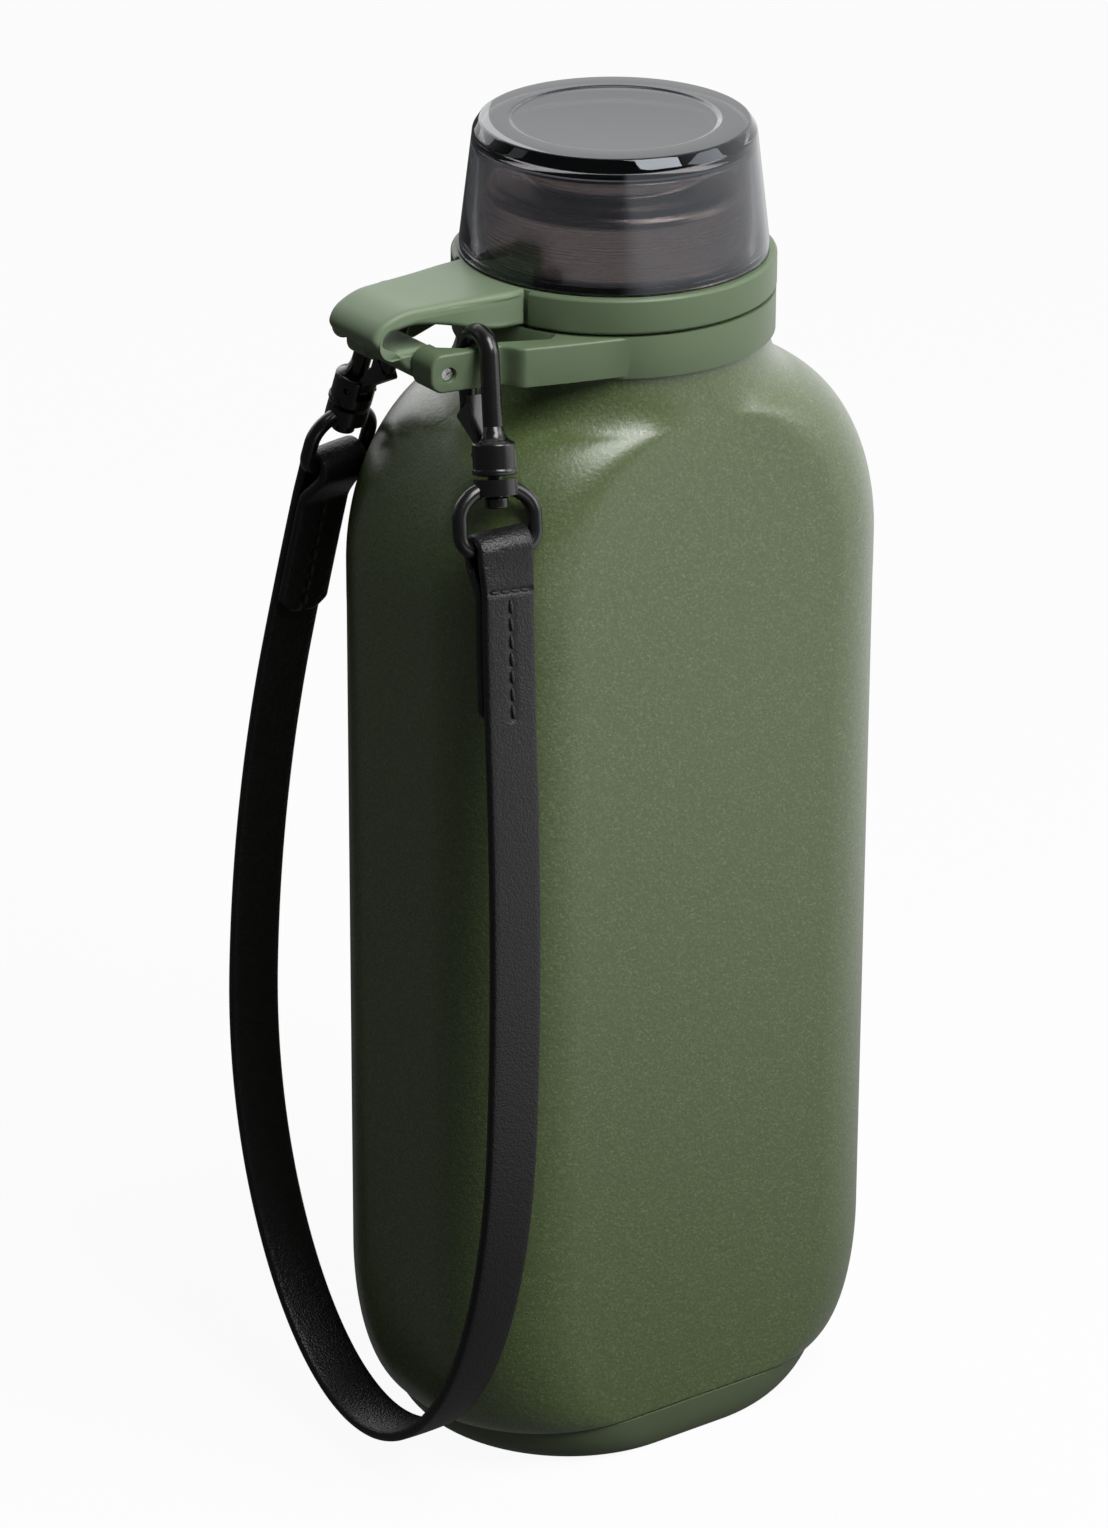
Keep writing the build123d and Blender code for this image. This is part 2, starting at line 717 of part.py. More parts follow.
def hook_gate(side):
    # Lever from the base rim to the nose, with a lip behind the nose
    view = side_view(hook_frame(side))
    outer_y = nose_y + hook_nose_wire
    lip_y = nose_y - hook_nose_wire - gate_gap
    outer_z = gate_pivot_z + sqrt(gate_reach ** 2 - (outer_y - gate_pivot_y) ** 2)
    lip_z = gate_pivot_z + sqrt(gate_reach ** 2 - (lip_y - gate_pivot_y) ** 2)
    with BuildPart() as gate:
        with BuildSketch(view):
            with BuildLine():
                Polyline((lip_y, lip_z), (lip_y, gate_lip_top), (lip_y - gate_lip, gate_lip_top),
                         (lip_y - gate_lip, gate_waist_z), (gate_throat_y, gate_throat_z),
                         (gate_pivot_y, gate_pivot_z), (gate_pivot_y + gate_hub_radius, gate_pivot_z),
                         (gate_rim_y, gate_rim_z), (outer_y, gate_bulge_z), (outer_y, outer_z))
                RadiusArc((outer_y, outer_z), (lip_y, lip_z), -gate_reach)
            make_face()
            with Locations((gate_pivot_y, gate_pivot_z)):
                Circle(gate_hub_radius)
        extrude(amount=gate_half_width, both=True)
        with BuildSketch(view):
            with Locations((gate_pivot_y, gate_pivot_z)):
                Circle(gate_hub_radius + fit_gap)
        extrude(amount=gate_cheek, both=True, mode=Mode.SUBTRACT)
        with BuildSketch(view):
            with Locations((gate_pivot_y, gate_pivot_z)):
                Circle(gate_pin_radius + gate_pin_gap)
        extrude(amount=gate_half_width, both=True, mode=Mode.SUBTRACT)
    return gate


def hook_gate_pin(side):
    # Cross pin that the gate turns on
    with BuildPart() as pin:
        with BuildSketch(side_view(hook_frame(side))):
            with Locations((gate_pivot_y, gate_pivot_z)):
                Circle(gate_pin_radius)
        extrude(amount=gate_pin_half, both=True)
    return pin


def gate_coil(side):
    # Small wire coil round the cross pin, between the gate's cheeks
    frame = hook_frame(side)
    coil_length = spring_pitch * spring_turns
    start_point = frame.from_local_coords(Vector(-coil_length / 2, gate_pivot_y, gate_pivot_z))
    with BuildPart() as coil:
        with BuildLine() as path:
            Helix(spring_pitch, coil_length, spring_radius, center=start_point, direction=frame.x_dir)
        with BuildSketch(Plane(origin=path.line @ 0, z_dir=path.line % 0)):
            Circle(spring_wire / 2)
        sweep(is_frenet=True)
    return coil


head_top = -(boss_drop + boss_height + head_gap)


def hook_post(side):
    # Headed stud: fixed in the hook's base, it turns in the ring's boss
    frame = hook_frame(side)
    with BuildPart() as post:
        with BuildSketch(frame.offset(head_top - post_head)):
            Circle(post_head_radius)
        extrude(amount=post_head)
        fillet(post.edges().filter_by(GeomType.CIRCLE), head_edge)
        with BuildSketch(frame.offset(head_top - head_edge)):
            Circle(post_radius)
        extrude(amount=post_depth - head_top + head_edge)
    return post


oval_middle = -(boss_drop + boss_height / 2) - oval_half_z
wire_level = oval_middle - oval_half_z


def ring_frame(side):
    # Frame of the ring: the hook's, turned so that the ring follows the shoulder
    frame = hook_frame(side)
    turn = radians(oval_turn)
    across = frame.x_dir * cos(turn) + frame.y_dir * side * sin(turn)
    return Plane(origin=frame.origin, x_dir=across, z_dir=frame.z_dir)


def oval_ring(side):
    # Wire ring, arched above and flat below, with a bored boss at the top
    frame = ring_frame(side)
    side_low = wire_level + oval_corner
    flat_half = oval_half_x - oval_corner
    with BuildPart() as ring:
        with BuildLine(front_view(frame)):
            Line((0, wire_level), (flat_half, wire_level))
            CenterArc((flat_half, side_low), oval_corner, -full_turn / 4, full_turn / 4)
            Line((oval_half_x, side_low), (oval_half_x, oval_middle))
            EllipticalCenterArc((0, oval_middle), oval_half_x, oval_half_z, start_angle=0, arc_size=full_turn / 2)
            Line((-oval_half_x, oval_middle), (-oval_half_x, side_low))
            CenterArc((-flat_half, side_low), oval_corner, full_turn / 2, full_turn / 4)
            Line((-flat_half, wire_level), (0, wire_level))
        start_point = frame.from_local_coords(Vector(0, 0, wire_level))
        with BuildSketch(Plane(origin=start_point, z_dir=frame.x_dir)):
            Circle(oval_wire)
        sweep()
        with BuildSketch(frame.offset(-boss_drop - boss_height)):
            Circle(hook_base_radius)
        extrude(amount=boss_height)
        with BuildSketch(frame.offset(-boss_drop - boss_height - cut_over)):
            Circle(post_radius + post_bore_gap)
        extrude(amount=boss_height + 2 * cut_over, mode=Mode.SUBTRACT)
    return ring


# Leather strap: centre line of the loop, seen along X
strap_half = strap_thickness / 2
strap_depth = strap_loop_middle - strap_loop_bottom - strap_half
strap_offset = oval_wire + strap_wrap_gap + strap_half
lean_cos = cos(radians(strap_lean))
lean_sin = sin(radians(strap_lean))
wire_point = hook_frame(1).from_local_coords(Vector(0, 0, wire_level))
wire_span = wire_point.Y * lean_cos + wire_point.Z * lean_sin
bow_reach = wire_span + strap_offset - strap_half_span * lean_cos - strap_loop_middle * lean_sin
bow_radius = bow_reach / (1 - lean_cos)

# The same strap seen along Y: upright below, leaning to the neck above
band_shift = wire_point.X + strap_plane_x
band_rise = wire_point.Z - strap_plane_bend_z
band_radius = (band_shift ** 2 + band_rise ** 2) / (2 * band_shift)


def band_middle(height):
    # X of the strap's middle at a height above the bend
    return band_radius - sqrt(band_radius ** 2 - (height - strap_plane_bend_z) ** 2) - strap_plane_x


def eyelet_frame(side):
    # Plane across the ring's wire: first coordinate outward, second up the strap
    frame = hook_frame(side)
    origin = frame.from_local_coords(Vector(0, 0, wire_level))
    return Plane(origin=origin, x_dir=(0, side * lean_cos, lean_sin), z_dir=-frame.x_dir)


def wire_hole(side):
    # Room for the ring's wire inside the fold, along the turned wire
    frame = eyelet_frame(side)
    inside = strap_offset - strap_half
    with BuildPart() as hole:
        with BuildSketch(Plane(origin=frame.origin, x_dir=frame.x_dir, z_dir=-ring_frame(side).x_dir)):
            with BuildLine():
                Spline((-inside, 0), (inside, -strap_pinch), tangents=[(0, -1), (0, -1)])
                Line((inside, -strap_pinch), (inside, 0))
                CenterArc((0, 0), inside, 0, full_turn / 2)
            make_face()
        extrude(amount=strap_width, both=True)
    return hole.part


def strap_eyelet(side):
    # Fold over the ring's wire and the tongue that runs down the inner side
    frame = eyelet_frame(side)
    outside = strap_offset + strap_half
    inside = strap_offset - strap_half
    tongue_face = inside - strap_thickness
    with BuildPart() as eyelet:
        with BuildSketch(frame):
            with BuildLine():
                Polyline((strap_offset, -strap_tongue), (strap_offset, -strap_pinch), (outside, -strap_pinch),
                         (outside, 0))
                ThreePointArc((outside, 0), (0, outside), (-outside, 0))
                Spline((-outside, 0), (tongue_face, -strap_pinch), tangents=[(0, -1), (0, -1)])
                Polyline((tongue_face, -strap_pinch), (tongue_face, -strap_tongue), (strap_offset, -strap_tongue))
            make_face()
        extrude(amount=strap_width, both=True)
        face_view = Plane(origin=frame.origin + frame.x_dir * tongue_face, x_dir=-frame.z_dir, z_dir=frame.x_dir)
        half_width = strap_width / 2
        corner_out = half_width + cut_over
        corner_low = -strap_tongue - cut_over
        corner_high = -strap_tongue + strap_tongue_cut + cut_over
        with BuildSketch(face_view):
            for turn in (-1, 1):
                with BuildLine():
                    Polyline((turn * corner_out, corner_high), (turn * corner_out, corner_low),
                             (turn * (half_width - strap_tongue_cut - cut_over), corner_low), close=True)
                make_face()
        extrude(amount=strap_thickness, mode=Mode.SUBTRACT)
    return eyelet.part


with BuildPart() as strap:
    with BuildSketch(Plane.YZ):
        with BuildLine():
            for face in (strap_half, -strap_half):
                EllipticalCenterArc((0, strap_loop_middle), strap_half_span + face, strap_depth + face,
                                    start_angle=full_turn / 2, arc_size=full_turn / 2)
                for side in (-1, 1):
                    bow_centre = (side * (strap_half_span - bow_radius), strap_loop_middle)
                    start_angle = 0 if side > 0 else full_turn / 2
                    CenterArc(bow_centre, bow_radius + face, start_angle, side * strap_lean)
                    bow_end = (side * (strap_half_span - bow_radius + (bow_radius + face) * lean_cos),
                               strap_loop_middle + (bow_radius + face) * lean_sin)
                    top_end = (side * (wire_point.Y + (strap_offset + face) * lean_cos),
                               wire_point.Z + (strap_offset + face) * lean_sin)
                    Line(bow_end, top_end)
            for side in (-1, 1):
                Line((side * (wire_point.Y + (strap_offset + strap_half) * lean_cos),
                      wire_point.Z + (strap_offset + strap_half) * lean_sin),
                     (side * (wire_point.Y + (strap_offset - strap_half) * lean_cos),
                      wire_point.Z + (strap_offset - strap_half) * lean_sin))
        make_face()
    extrude(amount=-(strap_plane_x + strap_width))
    for side in (-1, 1):
        add(strap_eyelet(side))
        add(wire_hole(side), mode=Mode.SUBTRACT)
    with BuildSketch(Plane.XZ):
        with BuildLine():
            band_top = wire_point.Z + strap_pinch
            band_turn = asin((band_top - strap_plane_bend_z) / band_radius)
            edge_low = {}
            edge_high = {}
            for edge in (-strap_width / 2, strap_width / 2):
                edge_low[edge] = (edge - strap_plane_x, 0)
                edge_bend = (edge - strap_plane_x, strap_plane_bend_z)
                edge_middle = (edge + band_middle((strap_plane_bend_z + band_top) / 2),
                               (strap_plane_bend_z + band_top) / 2)
                edge_high[edge] = (edge + band_middle(band_top), band_top)
                Line(edge_low[edge], edge_bend)
                ThreePointArc(edge_bend, edge_middle, edge_high[edge])
            Line(*edge_low.values())
            Line(*edge_high.values())
        make_face()
    extrude(amount=strap_half_span + strap_width, both=True, mode=Mode.INTERSECT)
    grown_foot = shoulder_foot_radius + strap_body_gap
    add(flask_solid(-strap_body_gap, parting_height, grown_foot, neck_radius + strap_body_gap, collar_bottom),
        mode=Mode.SUBTRACT)
save(strap, "strap")


def seam(side):
    # Row of thread bars along the middle of the strap's outer face
    with BuildPart() as bars:
        for index in range(stitch_count):
            ends = []
            for drop in (0, stitch_length):
                down = stitch_first + index * stitch_pitch + drop
                out = strap_offset + strap_half
                height = wire_point.Z + out * lean_sin - down * lean_cos
                across = wire_point.Y + out * lean_cos + down * lean_sin
                ends.append(Vector(band_middle(height), side * across, height))
            outward = (0, side * lean_cos, lean_sin)
            with BuildSketch(Plane(origin=ends[0], x_dir=outward, z_dir=ends[1] - ends[0])):
                with BuildLine():
                    CenterArc((0, 0), stitch_radius, -full_turn / 4, full_turn / 2)
                    Line((0, stitch_radius), (0, -stitch_radius))
                make_face()
            extrude(amount=stitch_length)
    return bars


# The same hook, ring and seam on both sides of the bottle
for name, side in (("front_", -1), ("back_", 1)):
    save(snap_hook(side), name + "hook")
    save(hook_gate(side), name + "gate")
    save(hook_gate_pin(side), name + "gate_pin")
    save(gate_coil(side), name + "gate_spring")
    save(hook_post(side), name + "swivel_post")
    save(oval_ring(side), name + "ring")
    save(seam(side), name + "stitches")
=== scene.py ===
import json
from math import acos, atan2, cos, exp, pi, radians, sin, sqrt, tan

import bmesh
import bpy
import numpy as np
from mathutils import Matrix, Vector
from mathutils.geometry import tessellate_polygon

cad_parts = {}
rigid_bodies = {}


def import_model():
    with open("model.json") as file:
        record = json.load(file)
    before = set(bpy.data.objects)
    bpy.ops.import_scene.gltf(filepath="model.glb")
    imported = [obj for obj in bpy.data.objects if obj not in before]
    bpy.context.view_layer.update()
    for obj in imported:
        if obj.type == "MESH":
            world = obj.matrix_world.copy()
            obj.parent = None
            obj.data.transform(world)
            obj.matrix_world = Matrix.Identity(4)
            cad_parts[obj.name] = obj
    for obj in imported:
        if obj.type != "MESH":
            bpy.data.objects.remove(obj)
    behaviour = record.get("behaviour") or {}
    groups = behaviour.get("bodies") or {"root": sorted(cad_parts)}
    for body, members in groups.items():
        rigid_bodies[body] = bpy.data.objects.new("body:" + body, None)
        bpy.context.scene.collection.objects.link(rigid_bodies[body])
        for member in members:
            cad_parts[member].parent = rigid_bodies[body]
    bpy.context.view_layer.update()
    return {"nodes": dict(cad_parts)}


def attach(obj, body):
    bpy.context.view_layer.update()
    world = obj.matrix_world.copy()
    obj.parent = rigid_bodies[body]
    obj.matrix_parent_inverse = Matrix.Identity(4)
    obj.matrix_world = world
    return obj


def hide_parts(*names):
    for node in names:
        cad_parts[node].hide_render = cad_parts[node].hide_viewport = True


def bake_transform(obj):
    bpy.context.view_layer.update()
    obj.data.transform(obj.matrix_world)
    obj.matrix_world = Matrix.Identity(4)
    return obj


for thing in list(bpy.data.objects):  # start from an empty scene
    bpy.data.objects.remove(thing)
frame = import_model()
scene = bpy.context.scene
mm = 0.001
print("frame loaded,", len(frame["nodes"]), "nodes")

# Helpers for objects and nodes


def newObject(name, data):
    made = bpy.data.objects.new(name, data)
    scene.collection.objects.link(made)
    return made


def newNode(tree, kind, given=None, **settings):
    # a node with its settings, whose given inputs are linked or set
    node = tree.nodes.new(kind)
    for label, value in settings.items():
        setattr(node, label, value)
    for socket, value in (given or {}).items():
        if isinstance(value, bpy.types.NodeSocket):
            tree.links.new(value, node.inputs[socket])
        else:
            node.inputs[socket].default_value = value
    return node


def sums(tree, operation, first, second=0.0):
    return newNode(tree, "ShaderNodeMath", {0: first, 1: second}, operation=operation).outputs[0]


def mapped(tree, value, source=(0.0, 1.0), target=(0.0, 1.0), **settings):
    # carries a value from one span to another
    ends = dict(zip(("From Min", "From Max", "To Min", "To Max"), (*source, *target)))
    return newNode(tree, "ShaderNodeMapRange", {"Value": value, **ends}, **settings).outputs["Result"]


def mixedShader(tree, share, first, second):
    return newNode(tree, "ShaderNodeMixShader", {0: share, 1: first, 2: second}).outputs[0]


def mixedTone(tree, share, first, second):
    return newNode(tree, "ShaderNodeMix", {0: share, 6: first, 7: second}, data_type="RGBA").outputs[2]

# Camera, at the photo's angle
view = {"azimuth": -36.24, "elevation": 23.66, "distance": 1274.8, "target": 143.1, "lens": 146.2, "sensor": 36,
        "roll": 0.008, "pan": -0.009}


def placeCamera():
    turn, lift = radians(view["azimuth"]), radians(view["elevation"])
    back = Vector((sin(turn) * cos(lift), -cos(turn) * cos(lift), sin(lift)))
    right = Vector((cos(turn), sin(turn), 0))
    up = back.cross(right)
    rolledRight = right * cos(view["roll"]) + up * sin(view["roll"])
    rolledUp = up * cos(view["roll"]) - right * sin(view["roll"])
    forward = rolledRight * sin(view["pan"]) - back * cos(view["pan"])
    side = rolledRight * cos(view["pan"]) + back * sin(view["pan"])
    data = bpy.data.cameras.new("photoCamera")
    data.lens = view["lens"]
    data.sensor_width = view["sensor"]
    camera = newObject("photoCamera", data)
    spot = Vector((0, 0, view["target"])) + back * view["distance"]
    camera.matrix_world = Matrix.Translation(spot * mm) @ Matrix((side, rolledUp, -forward)).transposed().to_4x4()
    scene.camera = camera


placeCamera()

# Studio: softboxes given by place, aim, size in metres and the white level of their panel
softboxes = {
    "topBox": {"place": (0.1, -0.74, 1.2), "aim": (0, 0, 0.2), "size": (0.6, 0.9), "level": 8.0},
    "sideBox": {"place": (1.3, -1.15, 0.95), "aim": (0, 0, 0.13), "size": (1.0, 1.1), "level": 2.5},
    "rimBox": {"place": (-1.1, 0.9, 0.8), "aim": (0, 0, 0.15), "size": (0.3, 0.9), "level": 0.4},
    "backBox": {"place": (0.15, 1.5, 0.85), "aim": (0, 0, 0.15), "size": (1.6, 0.9), "level": 0.9},
}
surroundings = {"fill": 0.08, "brightSide": (0.9, 0.43, 0.1), "dim": 0.06, "from": -0.2, "to": 0.8}
floorShape = {"reach": 6, "paper": 0.95, "bounce": 0.09, "shine": 0.94, "side": (0.8, -0.45, 0),
              "from": -0.12, "to": 0.5}


def sweepOf(tree, coordinates, side, start, end):
    # from dim to bright toward one side
    place = newNode(tree, "ShaderNodeTexCoord").outputs[coordinates]
    toward = newNode(tree, "ShaderNodeVectorMath", {0: place, 1: Vector(side).normalized()}, operation="DOT_PRODUCT")
    return mapped(tree, toward.outputs["Value"], (start, end), (surroundings["dim"], 1.0),
                  interpolation_type="SMOOTHSTEP")


def lightStudio():
    for name, box in softboxes.items():
        lamp = bpy.data.lights.new(name, "AREA")
        lamp.shape = "RECTANGLE"
        lamp.size, lamp.size_y = box["size"]
        lamp.energy = box["level"] * pi * box["size"][0] * box["size"][1]
        holder = newObject(name, lamp)
        holder.location = box["place"]
        holder.rotation_euler = (Vector(box["aim"]) - Vector(box["place"])).to_track_quat("-Z", "Y").to_euler()
    world = bpy.data.worlds.new("studioAir")
    scene.world = world
    world.use_nodes = True
    tree = world.node_tree
    tree.nodes.clear()
    rays = newNode(tree, "ShaderNodeLightPath").outputs
    sweep = sweepOf(tree, "Generated", surroundings["brightSide"], surroundings["from"], surroundings["to"])
    soft, swept, paper = [
        newNode(tree, "ShaderNodeBackground", {"Color": (1, 1, 1, 1), "Strength": strength}).outputs[0]
        for strength in (surroundings["fill"], sweep, 1.0)]
    mirrored = sums(tree, "MAXIMUM", rays["Is Glossy Ray"], rays["Is Transmission Ray"])
    unseen = mixedShader(tree, mirrored, soft, swept)
    newNode(tree, "ShaderNodeOutputWorld", {"Surface": mixedShader(tree, rays["Is Camera Ray"], unseen, paper)})


def layFloor():
    far = floorShape["reach"]
    mesh = bpy.data.meshes.new("paleFloor")
    mesh.from_pydata([(-far, -far, 0), (far, -far, 0), (far, far, 0), (-far, far, 0)], [], [(0, 1, 2, 3)])
    floor = newObject("paleFloor", mesh)
    material = bpy.data.materials.new("palePaper")
    material.use_nodes = True
    tree = material.node_tree
    tree.nodes.clear()
    rays = newNode(tree, "ShaderNodeLightPath").outputs
    bounce, paper = [newNode(tree, "ShaderNodeBsdfDiffuse", {"Color": (tone, tone, tone, 1)}).outputs[0]
                     for tone in (floorShape["bounce"], floorShape["paper"])]
    glow = newNode(tree, "ShaderNodeEmission").outputs[0]
    seen = mixedShader(tree, floorShape["shine"], paper, glow)
    looked = sums(tree, "MAXIMUM", rays["Is Camera Ray"], rays["Is Transmission Ray"])
    sweep = sweepOf(tree, "Object", floorShape["side"], floorShape["from"], floorShape["to"])
    swept = newNode(tree, "ShaderNodeEmission", {"Strength": sweep}).outputs[0]
    unseen = mixedShader(tree, rays["Is Glossy Ray"], bounce, swept)
    newNode(tree, "ShaderNodeOutputMaterial", {"Surface": mixedShader(tree, looked, unseen, seen)})
    mesh.materials.append(material)


lightStudio()
layFloor()
scene.view_settings.view_transform = "Standard"
print("studio set")

# Shared surface patterns, each puts out a mask and a height


def newPattern(name, inputs):
    tree = bpy.data.node_groups.new(name, "ShaderNodeTree")
    tree.interface.new_socket("Vector", in_out="INPUT", socket_type="NodeSocketVector")
    for label, value in inputs.items():
        tree.interface.new_socket(label, in_out="INPUT", socket_type="NodeSocketFloat").default_value = value
    for label in ("Mask", "Height"):
        tree.interface.new_socket(label, in_out="OUTPUT", socket_type="NodeSocketFloat")
    return tree, newNode(tree, "NodeGroupInput").outputs


def closePattern(tree, mask, height):
    newNode(tree, "NodeGroupOutput", {"Mask": mask, "Height": height})
    return tree


def noiseOf(tree, vector, scale, detail):
    return newNode(tree, "ShaderNodeTexNoise", {"Vector": vector, "Scale": scale, "Detail": detail}).outputs["Fac"]


def cellsOf(tree, vector, scale, feature):
    return newNode(tree, "ShaderNodeTexVoronoi", {"Vector": vector, "Scale": scale}, feature=feature).outputs


def makeFlakeGrain():  # powder coat: soft peel with fine bright flakes
    tree, given = newPattern("flakeGrain", {"Peel": 900, "Flakes": 3600, "Sparkle": 0.6})
    peel = noiseOf(tree, given["Vector"], given["Peel"], 3)
    cells = cellsOf(tree, given["Vector"], given["Flakes"], "F1")
    split = newNode(tree, "ShaderNodeSeparateColor", {0: cells["Color"]}).outputs
    sparkle = sums(tree, "MULTIPLY", sums(tree, "POWER", split[0], 5.0), given["Sparkle"])
    return closePattern(tree, sums(tree, "ADD", sums(tree, "MULTIPLY", peel, 0.4), sparkle),
                        sums(tree, "ADD", peel, sums(tree, "MULTIPLY", split[1], 0.35)))


def makeMouldGrain():  # moulded plastic: faint flow marks with a fine tooth
    tree, given = newPattern("mouldGrain", {"Flow": 60, "Tooth": 2500})
    return closePattern(tree, noiseOf(tree, given["Vector"], given["Flow"], 4),
                        noiseOf(tree, given["Vector"], given["Tooth"], 2))


def makeBrushedLines():  # turned steel: fine lines round the axis
    tree, given = newPattern("brushedLines", {"Lines": 2600, "Around": 12})
    scale = newNode(tree, "ShaderNodeCombineXYZ", {0: given["Around"], 1: given["Around"], 2: given["Lines"]})
    stretch = newNode(tree, "ShaderNodeVectorMath", {0: given["Vector"], 1: scale.outputs[0]}, operation="MULTIPLY")
    lines = noiseOf(tree, stretch.outputs[0], 1.0, 5)
    return closePattern(tree, lines, lines)


def makePebble():  # leather: rounded cells broken up by fine creases
    tree, given = newPattern("pebble", {"Cells": 1300, "Creases": 420})
    creases = noiseOf(tree, given["Vector"], given["Creases"], 6)
    cells = cellsOf(tree, given["Vector"], given["Cells"], "SMOOTH_F1")
    dome = sums(tree, "SUBTRACT", 1.0, cells["Distance"])
    return closePattern(tree, creases, sums(tree, "ADD", dome, sums(tree, "MULTIPLY", creases, 0.8)))


flakeGrain, mouldGrain, brushedLines, pebble = makeFlakeGrain(), makeMouldGrain(), makeBrushedLines(), makePebble()


def paintedWallShade(tree, normal, colour, wallShade):
    # painted shade: the smoked plastic's colour is darkened where an upright wall turns away from the eye, and on the
    # lid, standing in for the dark reflections and shade seen in the thick walls
    away = newNode(tree, "ShaderNodeLayerWeight", {"Blend": 0.5}).outputs["Facing"]
    level = sums(tree, "ABSOLUTE", newNode(tree, "ShaderNodeSeparateXYZ", {0: normal}).outputs[2])
    paintedShade = sums(tree, "MAXIMUM", mapped(tree, away, wallShade["span"]), mapped(tree, level, wallShade["lid"]))
    return mixedTone(tree, paintedShade, colour, (*wallShade["tone"], 1))


def makeFinish(name, look):
    material = bpy.data.materials.new(name)
    material.use_nodes = True
    tree = material.node_tree
    place = newNode(tree, "ShaderNodeTexCoord").outputs
    pattern = newNode(tree, "ShaderNodeGroup", {"Vector": place["Object"], **look["grain"]},
                      node_tree=look["pattern"]).outputs
    colour = mixedTone(tree, pattern["Mask"], *[(*tone, 1) for tone in look["tones"]])
    # painted shade darkens the walls seen edge-on and the lid
    if "wallShade" in look:
        colour = paintedWallShade(tree, place["Normal"], colour, look["wallShade"])
    strength, distance = look["bump"]
    bump = newNode(tree, "ShaderNodeBump", {"Strength": strength, "Distance": distance, "Height": pattern["Height"]})
    shader = tree.nodes["Principled BSDF"].inputs
    for label, value in look.get("shader", {}).items():
        shader[label].default_value = value
    tree.links.new(colour, shader["Base Color"])
    tree.links.new(mapped(tree, pattern["Mask"], target=look["roughness"]), shader["Roughness"])
    tree.links.new(bump.outputs["Normal"], shader["Normal"])
    return material


print("patterns ready")

# Mesh helpers, all sizes in millimetres


def addPiece(name, mesh, materials, body, replaced, sharp=40):
    mesh.name = name
    mesh.materials.clear()
    for material in materials:
        mesh.materials.append(material)
    mesh.shade_smooth()
    mesh.set_sharp_from_angle(angle=radians(sharp))
    piece = newObject(name, mesh)
    if body:
        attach(piece, body)
    if replaced:
        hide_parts(*replaced)
    return piece


def meshOf(shape, name):  # merges doubles, turns faces outward and keeps the shape as a mesh
    bmesh.ops.remove_doubles(shape, verts=shape.verts, dist=1e-7)
    bmesh.ops.recalc_face_normals(shape, faces=shape.faces)
    mesh = bpy.data.meshes.new(name)
    shape.to_mesh(mesh)
    shape.free()
    return mesh


def skinRings(rings, looped=False, startPole=None, endPole=None, capEnds=False, kinds=None):
    # faces between rings of equal count, with poles, flat caps or the last ring joined to the first
    shape = bmesh.new()
    made = [[shape.verts.new([c * mm for c in point]) for point in ring] for ring in rings]
    count = len(rings[0])
    pairs = list(zip(made, made[1:])) + ([(made[-1], made[0])] if looped else [])
    for low, high in pairs:
        for index in range(count):
            following = (index + 1) % count
            face = shape.faces.new((low[index], low[following], high[following], high[index]))
            if kinds:
                face.material_index = kinds[index]
    for ring, pole in ((made[0], startPole), (made[-1], endPole)):
        if pole is not None:
            centre = shape.verts.new([c * mm for c in pole])
            for index in range(count):
                shape.faces.new((ring[index], ring[(index + 1) % count], centre))
    if capEnds:
        for ring in (made[0], made[-1]):
            flat = [Vector((vertex.co.x, vertex.co.z, 0)) for vertex in ring]
            for corners in tessellate_polygon([flat]):
                shape.faces.new([ring[corner] for corner in corners])
    return shape


def softCorners(outline, steps=6):
    # rounds the corners of an open outline of (radius, height, rounding)
    made = []
    for index, (along, height, rounding) in enumerate(outline):
        here = Vector((along, height))
        if rounding <= 0 or index in (0, len(outline) - 1):
            made.append(here)
            continue
        before = (Vector(outline[index - 1][:2]) - here)
        after = (Vector(outline[index + 1][:2]) - here)
        reach = min(rounding, 0.48 * before.length, 0.48 * after.length)
        start, end = here + before.normalized() * reach, here + after.normalized() * reach
        for step in range(steps + 1):
            share = step / steps
            made.append(start * (1 - share) ** 2 + here * 2 * share * (1 - share) + end * share ** 2)
    return made


def turnedMesh(name, outline, steps=144, closed=False):
    # turns an outline round the upright axis; an open one runs from pole to pole
    line = softCorners(outline + outline[:1] if closed else outline)
    poles = (None, None)
    if closed:
        line = line[:-1]
    else:
        poles = ((0, 0, line[0].y), (0, 0, line[-1].y))
        line = line[1:-1]
    rings = []
    for point in line:
        rings.append([(point.x * cos(2 * pi * step / steps), point.x * sin(2 * pi * step / steps), point.y)
                      for step in range(steps)])
    return meshOf(skinRings(rings, looped=closed, startPole=poles[0], endPole=poles[1]), name)


def joinMeshes(name, meshes):
    shape = bmesh.new()
    for mesh in meshes:
        shape.from_mesh(mesh)
    joined = bpy.data.meshes.new(name)
    shape.to_mesh(joined)
    shape.free()
    return joined


def keptMesh(carrier):
    # the finished mesh of a helper object, which then goes
    mesh = bpy.data.meshes.new_from_object(carrier.evaluated_get(bpy.context.evaluated_depsgraph_get()))
    bpy.data.objects.remove(carrier)
    return mesh


# Copies of fitted parts: merging distance in metres, then angles that count as flat and as a corner
easing = {"merge": 1e-6, "flat": 0.4, "corner": 35, "segments": 3}


